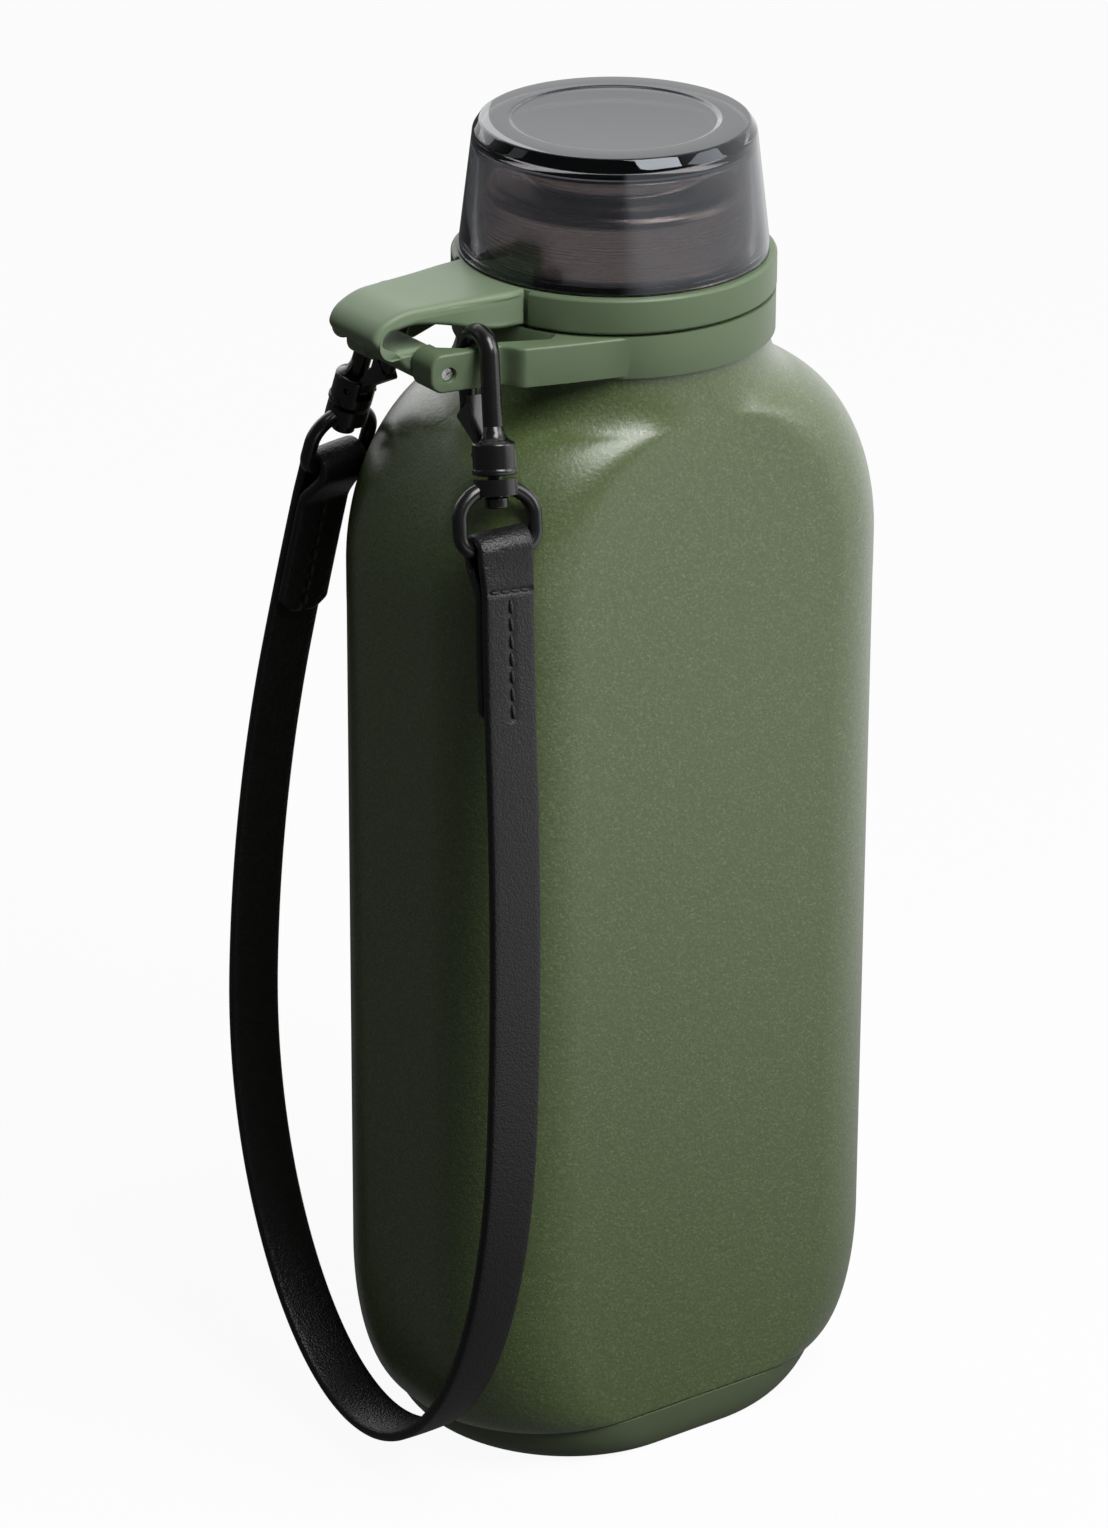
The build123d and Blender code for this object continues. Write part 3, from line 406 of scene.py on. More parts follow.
def smoothCopy(name, node, material, body, edge=0.0, extra=()):
    # a merged copy of a fitted part with its edges eased
    shape = bmesh.new()
    shape.from_mesh(frame["nodes"][node].data)
    bmesh.ops.remove_doubles(shape, verts=shape.verts, dist=easing["merge"])
    for layer in list(shape.loops.layers.uv):
        shape.loops.layers.uv.remove(layer)
    if edge:
        bmesh.ops.dissolve_limit(shape, angle_limit=radians(easing["flat"]), verts=shape.verts, edges=shape.edges)
    mesh = bpy.data.meshes.new(name)
    shape.to_mesh(mesh)
    shape.free()
    for label in ("custom_normal", "sharp_edge", "sharp_face"):
        if label in mesh.attributes:
            mesh.attributes.remove(mesh.attributes[label])
    for face in mesh.polygons:
        face.material_index = 0
    if edge:
        carrier = newObject(name, mesh)
        bevel = carrier.modifiers.new("easedEdges", "BEVEL")
        bevel.width = edge * mm
        bevel.segments = easing["segments"]
        bevel.limit_method = "ANGLE"
        bevel.angle_limit = radians(easing["corner"])
        mesh = keptMesh(carrier)
    if extra:
        mesh = joinMeshes(name, [mesh, *extra])
    addPiece(name, mesh, [material], body, [node])


# Geometry node helpers


def newTree(name, inputs):
    tree = bpy.data.node_groups.new(name, "GeometryNodeTree")
    tree.interface.new_socket("Geometry", in_out="INPUT", socket_type="NodeSocketGeometry")
    for label, (kind, value) in inputs.items():
        socket = tree.interface.new_socket(label, in_out="INPUT", socket_type="NodeSocket" + kind)
        if value is not None:
            socket.default_value = value
    tree.interface.new_socket("Geometry", in_out="OUTPUT", socket_type="NodeSocketGeometry")
    return tree, newNode(tree, "NodeGroupInput").outputs


def closeTree(tree, last, finish):
    real = newNode(tree, "GeometryNodeRealizeInstances", {0: last}).outputs[0]
    paint = newNode(tree, "GeometryNodeSetMaterial", {"Geometry": real, "Material": finish}).outputs[0]
    newNode(tree, "NodeGroupOutput", {0: paint})
    return tree


def growMesh(name, tree, values, start=None):
    # runs a tree on a start mesh and keeps the result as a plain mesh
    carrier = newObject(name, start or bpy.data.meshes.new(name))
    modifier = carrier.modifiers.new(name, "NODES")
    modifier.node_group = tree
    for item in tree.interface.items_tree:
        if item.item_type == "SOCKET" and item.in_out == "INPUT" and item.name in values:
            modifier[item.identifier] = values[item.name]
    return keptMesh(carrier)


def makeThreadTree():  # raised screw thread of several starts, run out at both ends
    tree, given = newTree("screwThread", {
        "Radius": ("Float", 0.026), "Turns": ("Float", 0.6), "Rise": ("Float", 0.0036), "Bottom": ("Float", 0.2498),
        "Rib": ("Float", 0.0008), "Starts": ("Int", 2), "Finish": ("Material", None)})
    spiral = newNode(tree, "GeometryNodeCurveSpiral", {
        "Resolution": 96, "Rotations": given["Turns"], "Start Radius": given["Radius"],
        "End Radius": given["Radius"], "Height": given["Rise"]}).outputs[0]
    along = newNode(tree, "GeometryNodeSplineParameter").outputs["Factor"]
    toEnd = sums(tree, "MINIMUM", along, sums(tree, "SUBTRACT", 1.0, along))
    taper = sums(tree, "MINIMUM", 1.0, sums(tree, "ADD", sums(tree, "MULTIPLY", toEnd, 14.0), 0.05))
    profile = newNode(tree, "GeometryNodeCurvePrimitiveCircle", {"Resolution": 12, "Radius": given["Rib"]}).outputs[0]
    rib = newNode(tree, "GeometryNodeCurveToMesh", {
        "Curve": spiral, "Profile Curve": profile, "Scale": taper, "Fill Caps": True}).outputs[0]
    spots = newNode(tree, "GeometryNodeMeshLine", {"Offset": (0, 0, 0), "Count": given["Starts"]}).outputs[0]
    index = newNode(tree, "GeometryNodeInputIndex").outputs[0]
    angle = sums(tree, "MULTIPLY", index, sums(tree, "DIVIDE", 2 * pi, given["Starts"]))
    spin = newNode(tree, "ShaderNodeCombineXYZ", {2: angle}).outputs[0]
    copies = newNode(tree, "GeometryNodeInstanceOnPoints", {"Points": spots, "Instance": rib, "Rotation": spin})
    lift = newNode(tree, "ShaderNodeCombineXYZ", {2: given["Bottom"]}).outputs[0]
    raised = newNode(tree, "GeometryNodeTransform", {"Geometry": copies.outputs[0], "Translation": lift})
    return closeTree(tree, raised.outputs[0], given["Finish"])


def makeStitchTree():  # one plump thread bar at each point of a path, laid along it
    tree, given = newTree("stitchRow", {
        "Stitches": ("Int", 7), "Length": ("Float", 0.0027), "Thread": ("Float", 0.0004), "Slant": ("Float", 0.12),
        "Finish": ("Material", None)})
    path = newNode(tree, "GeometryNodeMeshToCurve", {0: given["Geometry"]}).outputs[0]
    spaced = newNode(tree, "GeometryNodeResampleCurve", {"Curve": path, "Count": given["Stitches"]}).outputs[0]
    ball = newNode(tree, "GeometryNodeMeshUVSphere", {"Segments": 12, "Rings": 10, "Radius": 1.0}).outputs["Mesh"]
    half = sums(tree, "MULTIPLY", given["Length"], 0.5)
    size = newNode(tree, "ShaderNodeCombineXYZ", {0: given["Thread"], 1: given["Thread"], 2: half}).outputs[0]
    tilt = newNode(tree, "ShaderNodeCombineXYZ", {1: given["Slant"]}).outputs[0]
    bar = newNode(tree, "GeometryNodeTransform", {"Geometry": ball, "Scale": size, "Rotation": tilt}).outputs[0]
    tangent = newNode(tree, "GeometryNodeInputTangent").outputs[0]
    aligned = newNode(tree, "FunctionNodeAlignRotationToVector", {"Vector": tangent}, axis="Z").outputs[0]
    bars = newNode(tree, "GeometryNodeInstanceOnPoints", {"Points": spaced, "Instance": bar, "Rotation": aligned})
    return closeTree(tree, bars.outputs[0], given["Finish"])


threadTree, stitchTree = makeThreadTree(), makeStitchTree()
print("trees ready")

# Bottle body: rounded sections, a quarter ellipse below and above, a flare to the neck
bottle = {
    "halfX": 52.8, "halfY": 32.8, "corner": 21.8, "footX": 36.8, "footY": 29.4, "footEnd": 62.0,
    "partX": 48.2, "partY": 32.4, "partZ": 9.4, "bellyZ": 38.2, "shoulderZ": 191.7, "shoulderRise": 37.8,
    "shoulderFoot": 31.5, "shoulderEnd": 74.0, "shoulderRound": 1.25, "neck": 31.2, "collarZ": 239.0,
    "tube": 28.6, "tubeTop": 246.9, "wall": 0.8, "gap": 0.3, "cornerSteps": 30, "flatSteps": 16,
    "easeBelow": 10.0, "easeRows": 10, "easePasses": 90, "easePulls": (0.5, -0.53),
    "lip": ((0.0, 0.35), (0.08, 0.12)), "lipSection": 0.1, "lipTop": 0.3, "rows": 48, "innerRows": 18,
}
cup = {"wall": 1.4, "floor": 1.8, "spigot": 3, "spigotInset": 0.85, "footInset": 4,
       "rim": ((0.12, 0.02), (0.0, 0.25)), "rows": 26, "innerRows": 12}
nearlyRound = 0.999  # a corner as wide as the section would leave no flat
coatLook = {
    "pattern": flakeGrain, "grain": {"Peel": 1100, "Flakes": 3000, "Sparkle": 0.9},
    "tones": ((0.072, 0.108, 0.030), (0.158, 0.218, 0.082)), "roughness": (0.44, 0.24), "bump": (0.34, 0.0004),
    "shader": {"Metallic": 0.0, "Specular IOR Level": 0.6, "Coat Weight": 0.9, "Coat Roughness": 0.31},
}
cupLook = {
    "pattern": mouldGrain, "grain": {"Flow": 50, "Tooth": 2600},
    "tones": ((0.125, 0.160, 0.088), (0.150, 0.188, 0.108)), "roughness": (0.40, 0.50), "bump": (0.08, 0.0002),
    "shader": {"Specular IOR Level": 0.35},
}


def sectionRing(height, halfX, halfY, corner):
    corner = min(corner, nearlyRound * halfY)
    corners = ((1, 1), (-1, 1), (-1, -1), (1, -1))
    ring = []

    def spot(signs, turn):
        return (signs[0] * (halfX - corner) + corner * cos(turn), signs[1] * (halfY - corner) + corner * sin(turn),
                height)

    for quarter, signs in enumerate(corners):
        for step in range(bottle["cornerSteps"] + 1):
            ring.append(spot(signs, (quarter + step / bottle["cornerSteps"]) * pi / 2))
        start, end = ring[-1], spot(corners[(quarter + 1) % 4], (quarter + 1) * pi / 2)
        for step in range(1, bottle["flatSteps"]):
            share = step / bottle["flatSteps"]
            ring.append(tuple(a + (b - a) * share for a, b in zip(start, end)))
    return ring


def roundRing(radius, height):
    return sectionRing(height, radius, radius, nearlyRound * radius)


def bellySizes(height):
    b = bottle
    turn = acos(1 - (height - b["partZ"]) / (b["bellyZ"] - b["partZ"]))
    spans = ((b["partX"], b["halfX"]), (b["partY"], b["halfY"]), (nearlyRound * b["partY"], b["corner"]))
    return [start + (end - start) * sin(turn) for start, end in spans]


def bodyRings(inset, bottom, steps):
    # belly, straight flank, shoulder and the flare to the neck
    b = bottle
    rise = b["bellyZ"] - b["partZ"]
    start = acos(1 - (bottom - b["partZ"]) / rise)
    rings = []
    for step in range(steps + 1):
        height = b["partZ"] + rise * (1 - cos(start + (pi / 2 - start) * step / steps))
        rings.append(sectionRing(height, *[size - inset for size in bellySizes(min(height, b["bellyZ"]))]))
    halfX, halfY, corner = b["halfX"] - inset, b["halfY"] - inset, b["corner"] - inset
    easeFrom = b["shoulderZ"] - b["easeBelow"]
    heights = [b["bellyZ"] + (easeFrom - b["bellyZ"]) * share for share in (0.25, 0.5, 0.75)]
    heights += [easeFrom + b["easeBelow"] * step / b["easeRows"] for step in range(b["easeRows"])]
    rings += [sectionRing(height, halfX, halfY, corner) for height in heights]
    easeRow = len(rings) - b["easeRows"]
    foot, rise = b["shoulderFoot"] - inset, b["shoulderRise"] - inset
    end = radians(b["shoulderEnd"])
    for step in range(steps + 1):
        lean = cos(end * step / steps)
        sizes = [foot + (half - foot) * lean for half in (halfX, halfY)]
        sizes.append(corner + (foot - corner) * (1 - lean) * b["shoulderRound"])
        height = b["shoulderZ"] + rise * sin(end * step / steps)
        rings.append(sectionRing(height, *sizes))
    neck = b["neck"] - inset
    slope = atan2(rise * cos(end), (halfX - foot) * sin(end))
    flare = (sizes[0] - neck) / (1 - sin(slope))
    flareSteps = steps // 3
    for step in range(1, flareSteps + 1):
        turn = slope + (pi / 2 - slope) * step / flareSteps
        share = (sin(turn) - sin(slope)) / (1 - sin(slope))
        now = [size + (last - size) * share for size, last in zip(sizes, (neck, neck, nearlyRound * neck))]
        rings.append(sectionRing(height + flare * (cos(slope) - cos(turn)), *now))
    return rings[:easeRow] + easedRows(rings[easeRow:])


def easedRows(rows):
    # spreads sudden changes of curvature over the neighbouring points and keeps the size
    grid = np.array(rows)
    for pull in bottle["easePulls"] * bottle["easePasses"]:
        around = (np.roll(grid, 1, axis=1) + np.roll(grid, -1, axis=1)) / 2
        upward = (grid[:-2] + grid[2:]) / 2
        middle = (around[1:-1] + upward) / 2 - grid[1:-1]
        grid[1:-1, :, :2] += pull * middle[:, :, :2]
    return grid.tolist()


def buildShell():
    b = bottle
    bottom, wall, inside = b["partZ"] + b["gap"], b["wall"], b["tube"] - b["wall"]
    sizes = bellySizes(bottom + b["lipSection"])
    rings = [sectionRing(bottom + rise, *[size - inset for size in sizes]) for rise, inset in b["lip"]]
    rings += bodyRings(0, bottom + b["lipTop"], b["rows"])
    rings += [roundRing(radius, height) for radius, height in (
        (b["neck"], b["collarZ"]), (b["tube"], b["collarZ"]), (b["tube"], b["tubeTop"]), (inside, b["tubeTop"]),
        (inside, b["collarZ"] - wall), (b["neck"] - wall, b["collarZ"] - wall))]
    rings += reversed(bodyRings(wall, bottom + b["lipTop"], b["innerRows"]))
    rings.append(sectionRing(bottom, *[size - wall for size in sizes]))
    mesh = meshOf(skinRings(rings, looped=True), "bottleShell")
    addPiece("bottleShell", mesh, [makeFinish("olivePowderCoat", coatLook)], "flask", ["outer_shell"],
             60)


def cupFlank(inset, low, steps):
    b = bottle
    end = radians(b["footEnd"])
    made = []
    for step in range(steps + 1):
        turn = end * step / steps
        out, up = sin(turn) / sin(end), (1 - cos(turn)) / (1 - cos(end))
        halfX = b["footX"] + (b["partX"] - b["footX"]) * out - inset
        halfY = b["footY"] + (b["partY"] - b["footY"]) * out - inset
        made.append(sectionRing(low + (b["partZ"] - low) * up, halfX, halfY, nearlyRound * halfY))
    return made


def buildCup():
    b = bottle
    top, raised = b["partZ"], b["partZ"] + cup["spigot"]
    footX, footY = b["footX"] - cup["footInset"], b["footY"] - cup["footInset"]
    innerX, innerY = b["partX"] - cup["wall"], b["partY"] - cup["wall"]
    rim = (b["partX"], b["partY"], nearlyRound * b["partY"])
    spigot = [size - cup["spigotInset"] for size in bellySizes(top + b["gap"])]
    rings = [sectionRing(0, footX, footY, nearlyRound * footY)] + cupFlank(0, 0, cup["rows"])[:-1]
    rings += [sectionRing(top - drop, *[size - inset for size in rim]) for drop, inset in cup["rim"]]
    rings += [sectionRing(top, *spigot), sectionRing(raised, *spigot),
              sectionRing(raised, innerX, innerY, nearlyRound * innerY)]
    rings += reversed(cupFlank(cup["wall"], cup["floor"], cup["innerRows"]))
    mesh = meshOf(skinRings(rings, startPole=(0, 0, 0), endPole=(0, 0, cup["floor"])), "baseCup")
    addPiece("baseCup", mesh, [makeFinish("cupPlastic", cupLook)], "flask", ["base_cup"], 60)


buildShell()
buildCup()
print("body built")

# Collar, its pin and the ring under the cap, eased copies of the fitted parts
greenLook = {
    "pattern": mouldGrain, "grain": {"Flow": 70, "Tooth": 2400},
    "tones": ((0.146, 0.205, 0.114), (0.174, 0.238, 0.138)), "roughness": (0.32, 0.42), "bump": (0.06, 0.0002),
    "shader": {"Specular IOR Level": 0.45, "Subsurface Weight": 0.04, "Subsurface Scale": 0.002},
}
pinLook = {
    "pattern": brushedLines, "grain": {"Lines": 1800, "Around": 900},
    "tones": ((0.52, 0.52, 0.53), (0.80, 0.80, 0.80)), "roughness": (0.18, 0.42), "bump": (0.5, 0.0003),
    "shader": {"Metallic": 1.0},
}
greenPlastic = makeFinish("greenPlastic", greenLook)
smoothCopy("neckCollar", "neck_collar", greenPlastic, "flask", 0.25)
smoothCopy("capRing", "cap_ring", greenPlastic, "ring_and_tether", 0.22)
smoothCopy("hingePin", "hinge_pin", makeFinish("pinSteel", pinLook), "flask")
print("collar built")

# Tether: side outline in the plane of the fold, a width for every part of it, rounded edges
tetherShape = {
    "ringRadius": 31.5, "top": 255.3, "under": 247.9, "edge": 1.15, "across": 14, "edgeSteps": 6,
    "widths": ((20.0, 11.4), (33.0, 11.35), (42.0, 10.1), (52.0, 9.1), (64.0, 8.1)),
    "tail": 7.6, "tailFrom": 55.6, "tailTo": 59.0,
    "crest": (53.5, 255.3), "over": (60.3, 253.6), "fold": (62.9, 250.5), "turn": (61.6, 247.9),
    "heel": (58.6, 246.0), "pin": (50.5, 243.2), "knuckle": 3.4, "slot": (57.0, 247.0),
    "slotTip": (60.6, 248.9), "slotEnd": (58.8, 251.3),
    "underside": ((53.5, 251.9), (46.5, 250.6), (40.0, 248.7), (33.5, 247.9)), "knuckleSide": 0.707,
    "seat": 0.05, "seatRound": 0.8, "follow": ((-57.0, 0, 247.0), (-56.8625, 0, 249.2917)),
}
tetherLook = {
    "pattern": mouldGrain, "grain": {"Flow": 80, "Tooth": 2800},
    "tones": ((0.215, 0.290, 0.182), (0.250, 0.332, 0.214)), "roughness": (0.38, 0.48), "bump": (0.07, 0.0002),
    "shader": {"Specular IOR Level": 0.4, "Subsurface Weight": 0.08, "Subsurface Scale": 0.003},
}


def arcThrough(start, middle, end, steps):
    # points of the circle through three points, without the first
    (ax, ay), (bx, by), (cx, cy) = start, middle, end
    spread = 2 * (ax * (by - cy) + bx * (cy - ay) + cx * (ay - by))
    ox = ((ax**2 + ay**2) * (by - cy) + (bx**2 + by**2) * (cy - ay) + (cx**2 + cy**2) * (ay - by)) / spread
    oy = ((ax**2 + ay**2) * (cx - bx) + (bx**2 + by**2) * (ax - cx) + (cx**2 + cy**2) * (bx - ax)) / spread
    centre = Vector((ox, oy))
    first, mid, last = (Vector(point) - centre for point in (start, middle, end))
    angle = [atan2(v.y, v.x) for v in (first, mid, last)]
    forward = (angle[2] - angle[0]) % (2 * pi)
    passing = (angle[1] - angle[0]) % (2 * pi)
    sweep = forward if passing < forward else forward - 2 * pi
    radius = first.length
    return [(ox + radius * cos(angle[0] + sweep * step / steps), oy + radius * sin(angle[0] + sweep * step / steps))
            for step in range(1, steps + 1)]


def smoothThrough(points, startSlope, endSlope, steps):
    # smooth line through points, with the direction given at both ends, without the first
    spots = [Vector(point) for point in points]
    slopes = [Vector(startSlope)]
    for before, after in zip(spots, spots[2:]):
        slopes.append((after - before).normalized())
    slopes.append(Vector(endSlope))
    made = []
    for index in range(len(spots) - 1):
        a, b = spots[index], spots[index + 1]
        reach = (b - a).length
        for step in range(1, steps + 1):
            t = step / steps
            made.append(tuple(a * (2 * t**3 - 3 * t**2 + 1) + slopes[index] * reach * (t**3 - 2 * t**2 + t)
                              + b * (3 * t**2 - 2 * t**3) + slopes[index + 1] * reach * (t**3 - t**2)))
    return made


def straightTo(start, end, steps):
    return [tuple(a + (b - a) * step / steps for a, b in zip(start, end)) for step in range(1, steps + 1)]


def tetherOutline():
    # closed side outline, first coordinate away from the neck, second up; the first two runs meet the ring
    t = tetherShape
    root = (t["ringRadius"], t["under"])
    line = [root]
    line += straightTo(line[-1], (t["ringRadius"], t["top"]), 6)
    line += straightTo(line[-1], t["crest"], 22)
    side = t["knuckle"] * t["knuckleSide"]
    low = (t["pin"][0] + side, t["pin"][1] - side)
    toPin = (Vector(low) - Vector(t["heel"])).normalized()
    line += smoothThrough([line[-1], t["over"], t["fold"], t["turn"], t["heel"]], (1, 0), toPin, 7)
    line += straightTo(line[-1], low, 8)
    line += arcThrough(line[-1], (t["pin"][0] - t["knuckle"], t["pin"][1]),
                       (t["pin"][0], t["pin"][1] + t["knuckle"]), 14)
    line += straightTo(line[-1], t["slot"], 8)
    line += arcThrough(line[-1], t["slotTip"], t["slotEnd"], 14)
    line += smoothThrough([line[-1], *t["underside"]], (-1, 0), (-1, 0), 6)
    return line


def eased(share):
    return share * share * (3 - 2 * share)


def tetherHalf(widths, out, top):
    # half width of the tether at a distance from the neck
    t = tetherShape
    half = widths[-1][1]
    for (a, wide), (b, narrow) in zip(widths, widths[1:]):
        if a <= out <= b:
            half = wide + (narrow - wide) * (out - a) / (b - a)
    if not top:
        share = min(1, max(0, (out - t["tailFrom"]) / (t["tailTo"] - t["tailFrom"])))
        half = t["tail"] + (half - t["tail"]) * eased(share)
    return half


def buildTether():
    t = tetherShape
    line = tetherOutline()
    widths = smoothThrough(t["widths"], (1, 0), (1, -0.08), 8)
    slotSpot, heelSpot = [line.index(min(line, key=lambda p: (Vector(p) - Vector(t[mark])).length))
                          for mark in ("slotTip", "heel")]
    inward = []
    for before, after in zip(line[-1:] + line[:-1], line[1:] + line[:1]):
        along = (Vector(after) - Vector(before)).normalized()
        inward.append(Vector((along.y, -along.x)))
    area = sum(a[0] * b[1] - b[0] * a[1] for a, b in zip(line, line[1:] + line[:1]))
    if area > 0:
        inward = [-n for n in inward]
    edge, edgeSteps = t["edge"], t["edgeSteps"]
    layers = []  # (share of the flat width, inset, reach beyond it)
    for step in range(edgeSteps):
        turn = pi / 2 * (1 - step / edgeSteps)
        layers.append((-1, edge * (1 - cos(turn)), -edge * sin(turn)))
    for step in range(t["across"] + 1):
        layers.append((2 * step / t["across"] - 1, 0, 0))
    for step in range(1, edgeSteps + 1):
        turn = pi / 2 * step / edgeSteps
        layers.append((1, edge * (1 - cos(turn)), edge * sin(turn)))
    rings = []
    for share, inset, beyond in layers:
        ring = []
        for index, (out, height) in enumerate(line):
            half = tetherHalf(widths, out, not heelSpot < index < slotSpot)
            across = share * (half - edge) + beyond
            moved = Vector((out, height)) + inward[index] * inset
            if out <= t["ringRadius"] + 1e-6:
                moved.x = sqrt(t["ringRadius"] ** 2 - across ** 2) + t["seat"] + inset * t["seatRound"]
            ring.append((-moved.x, across, moved.y))
        rings.append(ring)
    mesh = meshOf(skinRings(rings, capEnds=True), "foldedTether")
    piece = addPiece("foldedTether", mesh, [makeFinish("tetherRubber", tetherLook)], None, ["tether"],
                     50)
    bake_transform(piece)


buildTether()
print("tether built")

# Spout: turned steel with a drinking lip and the outside thread
spoutShape = {
    "outline": [(25.0, 246.95, 0.2), (30.2, 246.95, 0.2), (30.2, 247.7, 0.2), (26.0, 247.7, 0.3), (26.0, 270.0, 3.4),
                (16.8, 270.0, 1.8), (16.8, 276.4, 0.45), (15.8, 276.4, 0.45), (15.8, 269.0, 1.0), (25.0, 269.0, 2.6)],
    "thread": {"Radius": 26.2 * mm, "Turns": 0.6, "Rise": 3.6 * mm, "Bottom": 249.8 * mm, "Rib": 0.95 * mm,
               "Starts": 2},
}
steelLook = {
    "pattern": brushedLines, "grain": {"Lines": 3200, "Around": 14},
    "tones": ((0.54, 0.45, 0.40), (0.68, 0.58, 0.52)), "roughness": (0.22, 0.32), "bump": (0.04, 0.0002),
    "shader": {"Metallic": 1.0, "Anisotropic": 0.7},
}
spoutSteel = makeFinish("spoutSteel", steelLook)
ribs = growMesh("spoutThread", threadTree, {**spoutShape["thread"], "Finish": spoutSteel})
spoutMesh = joinMeshes("steelSpout", [turnedMesh("steelSpout", spoutShape["outline"], closed=True), ribs])
addPiece("steelSpout", spoutMesh, [spoutSteel], "flask", ["spout"], 35)

# Cap: clear smoked shell with its inside thread, a dark stopper and a washer
capShape = {
    "outline": [(0, 281.5, 0), (20.3, 281.5, 0.4), (20.9, 281.9, 0.4), (26.7, 281.9, 0.4), (28.1, 279.8, 0.5),
                (31.0, 255.4, 0.35), (28.9, 255.4, 0.1), (28.9, 249.2, 0.1), (29.4, 249.2, 0.2), (29.4, 248.4, 0.2),
                (27.6, 248.4, 0.3), (27.6, 262.0, 2.5), (26.4, 277.4, 1.4), (0, 277.4, 0)],
    "stopper": [(0, 269.5, 0), (15.2, 269.5, 0.9), (15.2, 277.3, 0.1), (13.6, 277.3, 0.1), (13.6, 271.1, 0.6),
                (0, 271.1, 0)],
    "washer": [(15.3, 276.45, 0.2), (18.2, 276.45, 0.3), (18.2, 277.35, 0.3), (15.3, 277.35, 0.2)],
    "thread": {"Radius": 27.5 * mm, "Turns": 0.6, "Rise": 3.6 * mm, "Bottom": 251.3 * mm, "Rib": 0.85 * mm,
               "Starts": 2},
}
smokedLook = {
    "pattern": mouldGrain, "grain": {"Flow": 30, "Tooth": 160},
    "tones": ((0.34, 0.33, 0.345), (0.38, 0.37, 0.385)), "roughness": (0.015, 0.04), "bump": (0.02, 0.0002),
    # painted shade: the dark tone laid on walls seen edge-on and on the lid, with the spans over which it takes over
    "wallShade": {"tone": (0.012, 0.014, 0.018), "span": (0.2, 0.66), "lid": (0.4, 0.95)},
    "shader": {"Transmission Weight": 1.0, "IOR": 1.49, "Coat Weight": 0.4, "Coat Roughness": 0.02,
               "Specular Tint": (0.78, 0.88, 1.0, 1.0)},
}
stopperLook = {
    "pattern": mouldGrain, "grain": {"Flow": 60, "Tooth": 1500},
    "tones": ((0.012, 0.014, 0.022), (0.020, 0.023, 0.034)), "roughness": (0.12, 0.22), "bump": (0.05, 0.0002),
    "shader": {"Coat Weight": 0.3, "Coat Roughness": 0.08},
}
washerLook = {
    "pattern": mouldGrain, "grain": {"Flow": 90, "Tooth": 2000},
    "tones": ((0.08, 0.08, 0.09), (0.12, 0.12, 0.13)), "roughness": (0.5, 0.7), "bump": (0.1, 0.0002),
}
smoked = makeFinish("smokedClear", smokedLook)
capRibs = growMesh("capThread", threadTree, {**capShape["thread"], "Finish": smoked})
capMesh = joinMeshes("smokedCap", [turnedMesh("smokedCap", capShape["outline"], 180), capRibs])
addPiece("smokedCap", capMesh, [smoked], "cap", ["cap_shell"], 35)
addPiece("capPlug", turnedMesh("capPlug", capShape["stopper"]), [makeFinish("stopperPlastic", stopperLook)], "cap",
         ["cap_stopper"])
addPiece("lipWasher", turnedMesh("lipWasher", capShape["washer"], closed=True),
         [makeFinish("washerSilicone", washerLook)], "cap", ["lip_gasket"])
print("cap built")

# Snap hooks on both sides
hookShape = {
    "arch": (43.6, 15.2, 246.0), "leanX": 7.3, "leanY": 15.0, "bend": 4.1, "bendHeight": 23.3,
    "wireLevel": -14.4, "ringTurn": 9.0,
    "shoulder": [(1.6, 6.1), (4.05, 6.1), (3.9, 6.42), (3.2, 6.75), (2.6, 7.4), (2.2, 8.3), (2.0, 9.4), (1.6, 9.8)],
    "rim": [(3.6, 0.25), (4.42, 0.25), (4.56, 0.5), (4.56, 1.1), (4.42, 1.35), (3.6, 1.35)],
    "shoulderTurn": (176, 364), "rimTurn": (160, 380), "trimSteps": 40,
}
blackLook = {
    "pattern": mouldGrain, "grain": {"Flow": 140, "Tooth": 1800},
    "tones": ((0.005, 0.005, 0.006), (0.009, 0.009, 0.010)), "roughness": (0.22, 0.34), "bump": (0.05, 0.0002),
    "shader": {"Specular IOR Level": 0.5, "Coat Weight": 0.5, "Coat Roughness": 0.14},
}
springLook = {
    "pattern": brushedLines, "grain": {"Lines": 4000, "Around": 300},
    "tones": ((0.42, 0.42, 0.43), (0.6, 0.6, 0.6)), "roughness": (0.22, 0.38), "bump": (0.1, 0.0001),
    "shader": {"Metallic": 1.0},
}
blackMetal, springSteel = makeFinish("blackMetal", blackLook), makeFinish("springSteel", springLook)


def hookFrame(side):
    # base point, direction across the ring, inward and up the swivel axis
    up = Vector((tan(radians(hookShape["leanX"])), -side * tan(radians(hookShape["leanY"])), 1)).normalized()
    across = Vector((-side, 0, 0))
    across = (across - up * across.dot(up)).normalized()
    inward = up.cross(across)
    x, y, z = hookShape["arch"]
    base = Vector((-x, side * y, z)) - inward * hookShape["bend"] - up * hookShape["bendHeight"]
    return base, across, inward, up


def hookTrim(side, trim):
    # part of a turned outline round the swivel axis, on the outer side of the hook
    base, across, inward, up = hookFrame(side)
    outline, (start, end), steps = hookShape[trim], hookShape[trim + "Turn"], hookShape["trimSteps"]
    rings = []
    for step in range(steps + 1):
        turn = radians(start + (end - start) * step / steps)
        outward = across * cos(turn) + inward * sin(turn)
        rings.append([tuple(base + outward * radius + up * height) for radius, height in outline])
    shape = skinRings(rings)
    shape.verts.ensure_lookup_table()
    shape.faces.new(shape.verts[:len(outline)])
    shape.faces.new(shape.verts[-len(outline):])
    return meshOf(shape, "hookTrim")


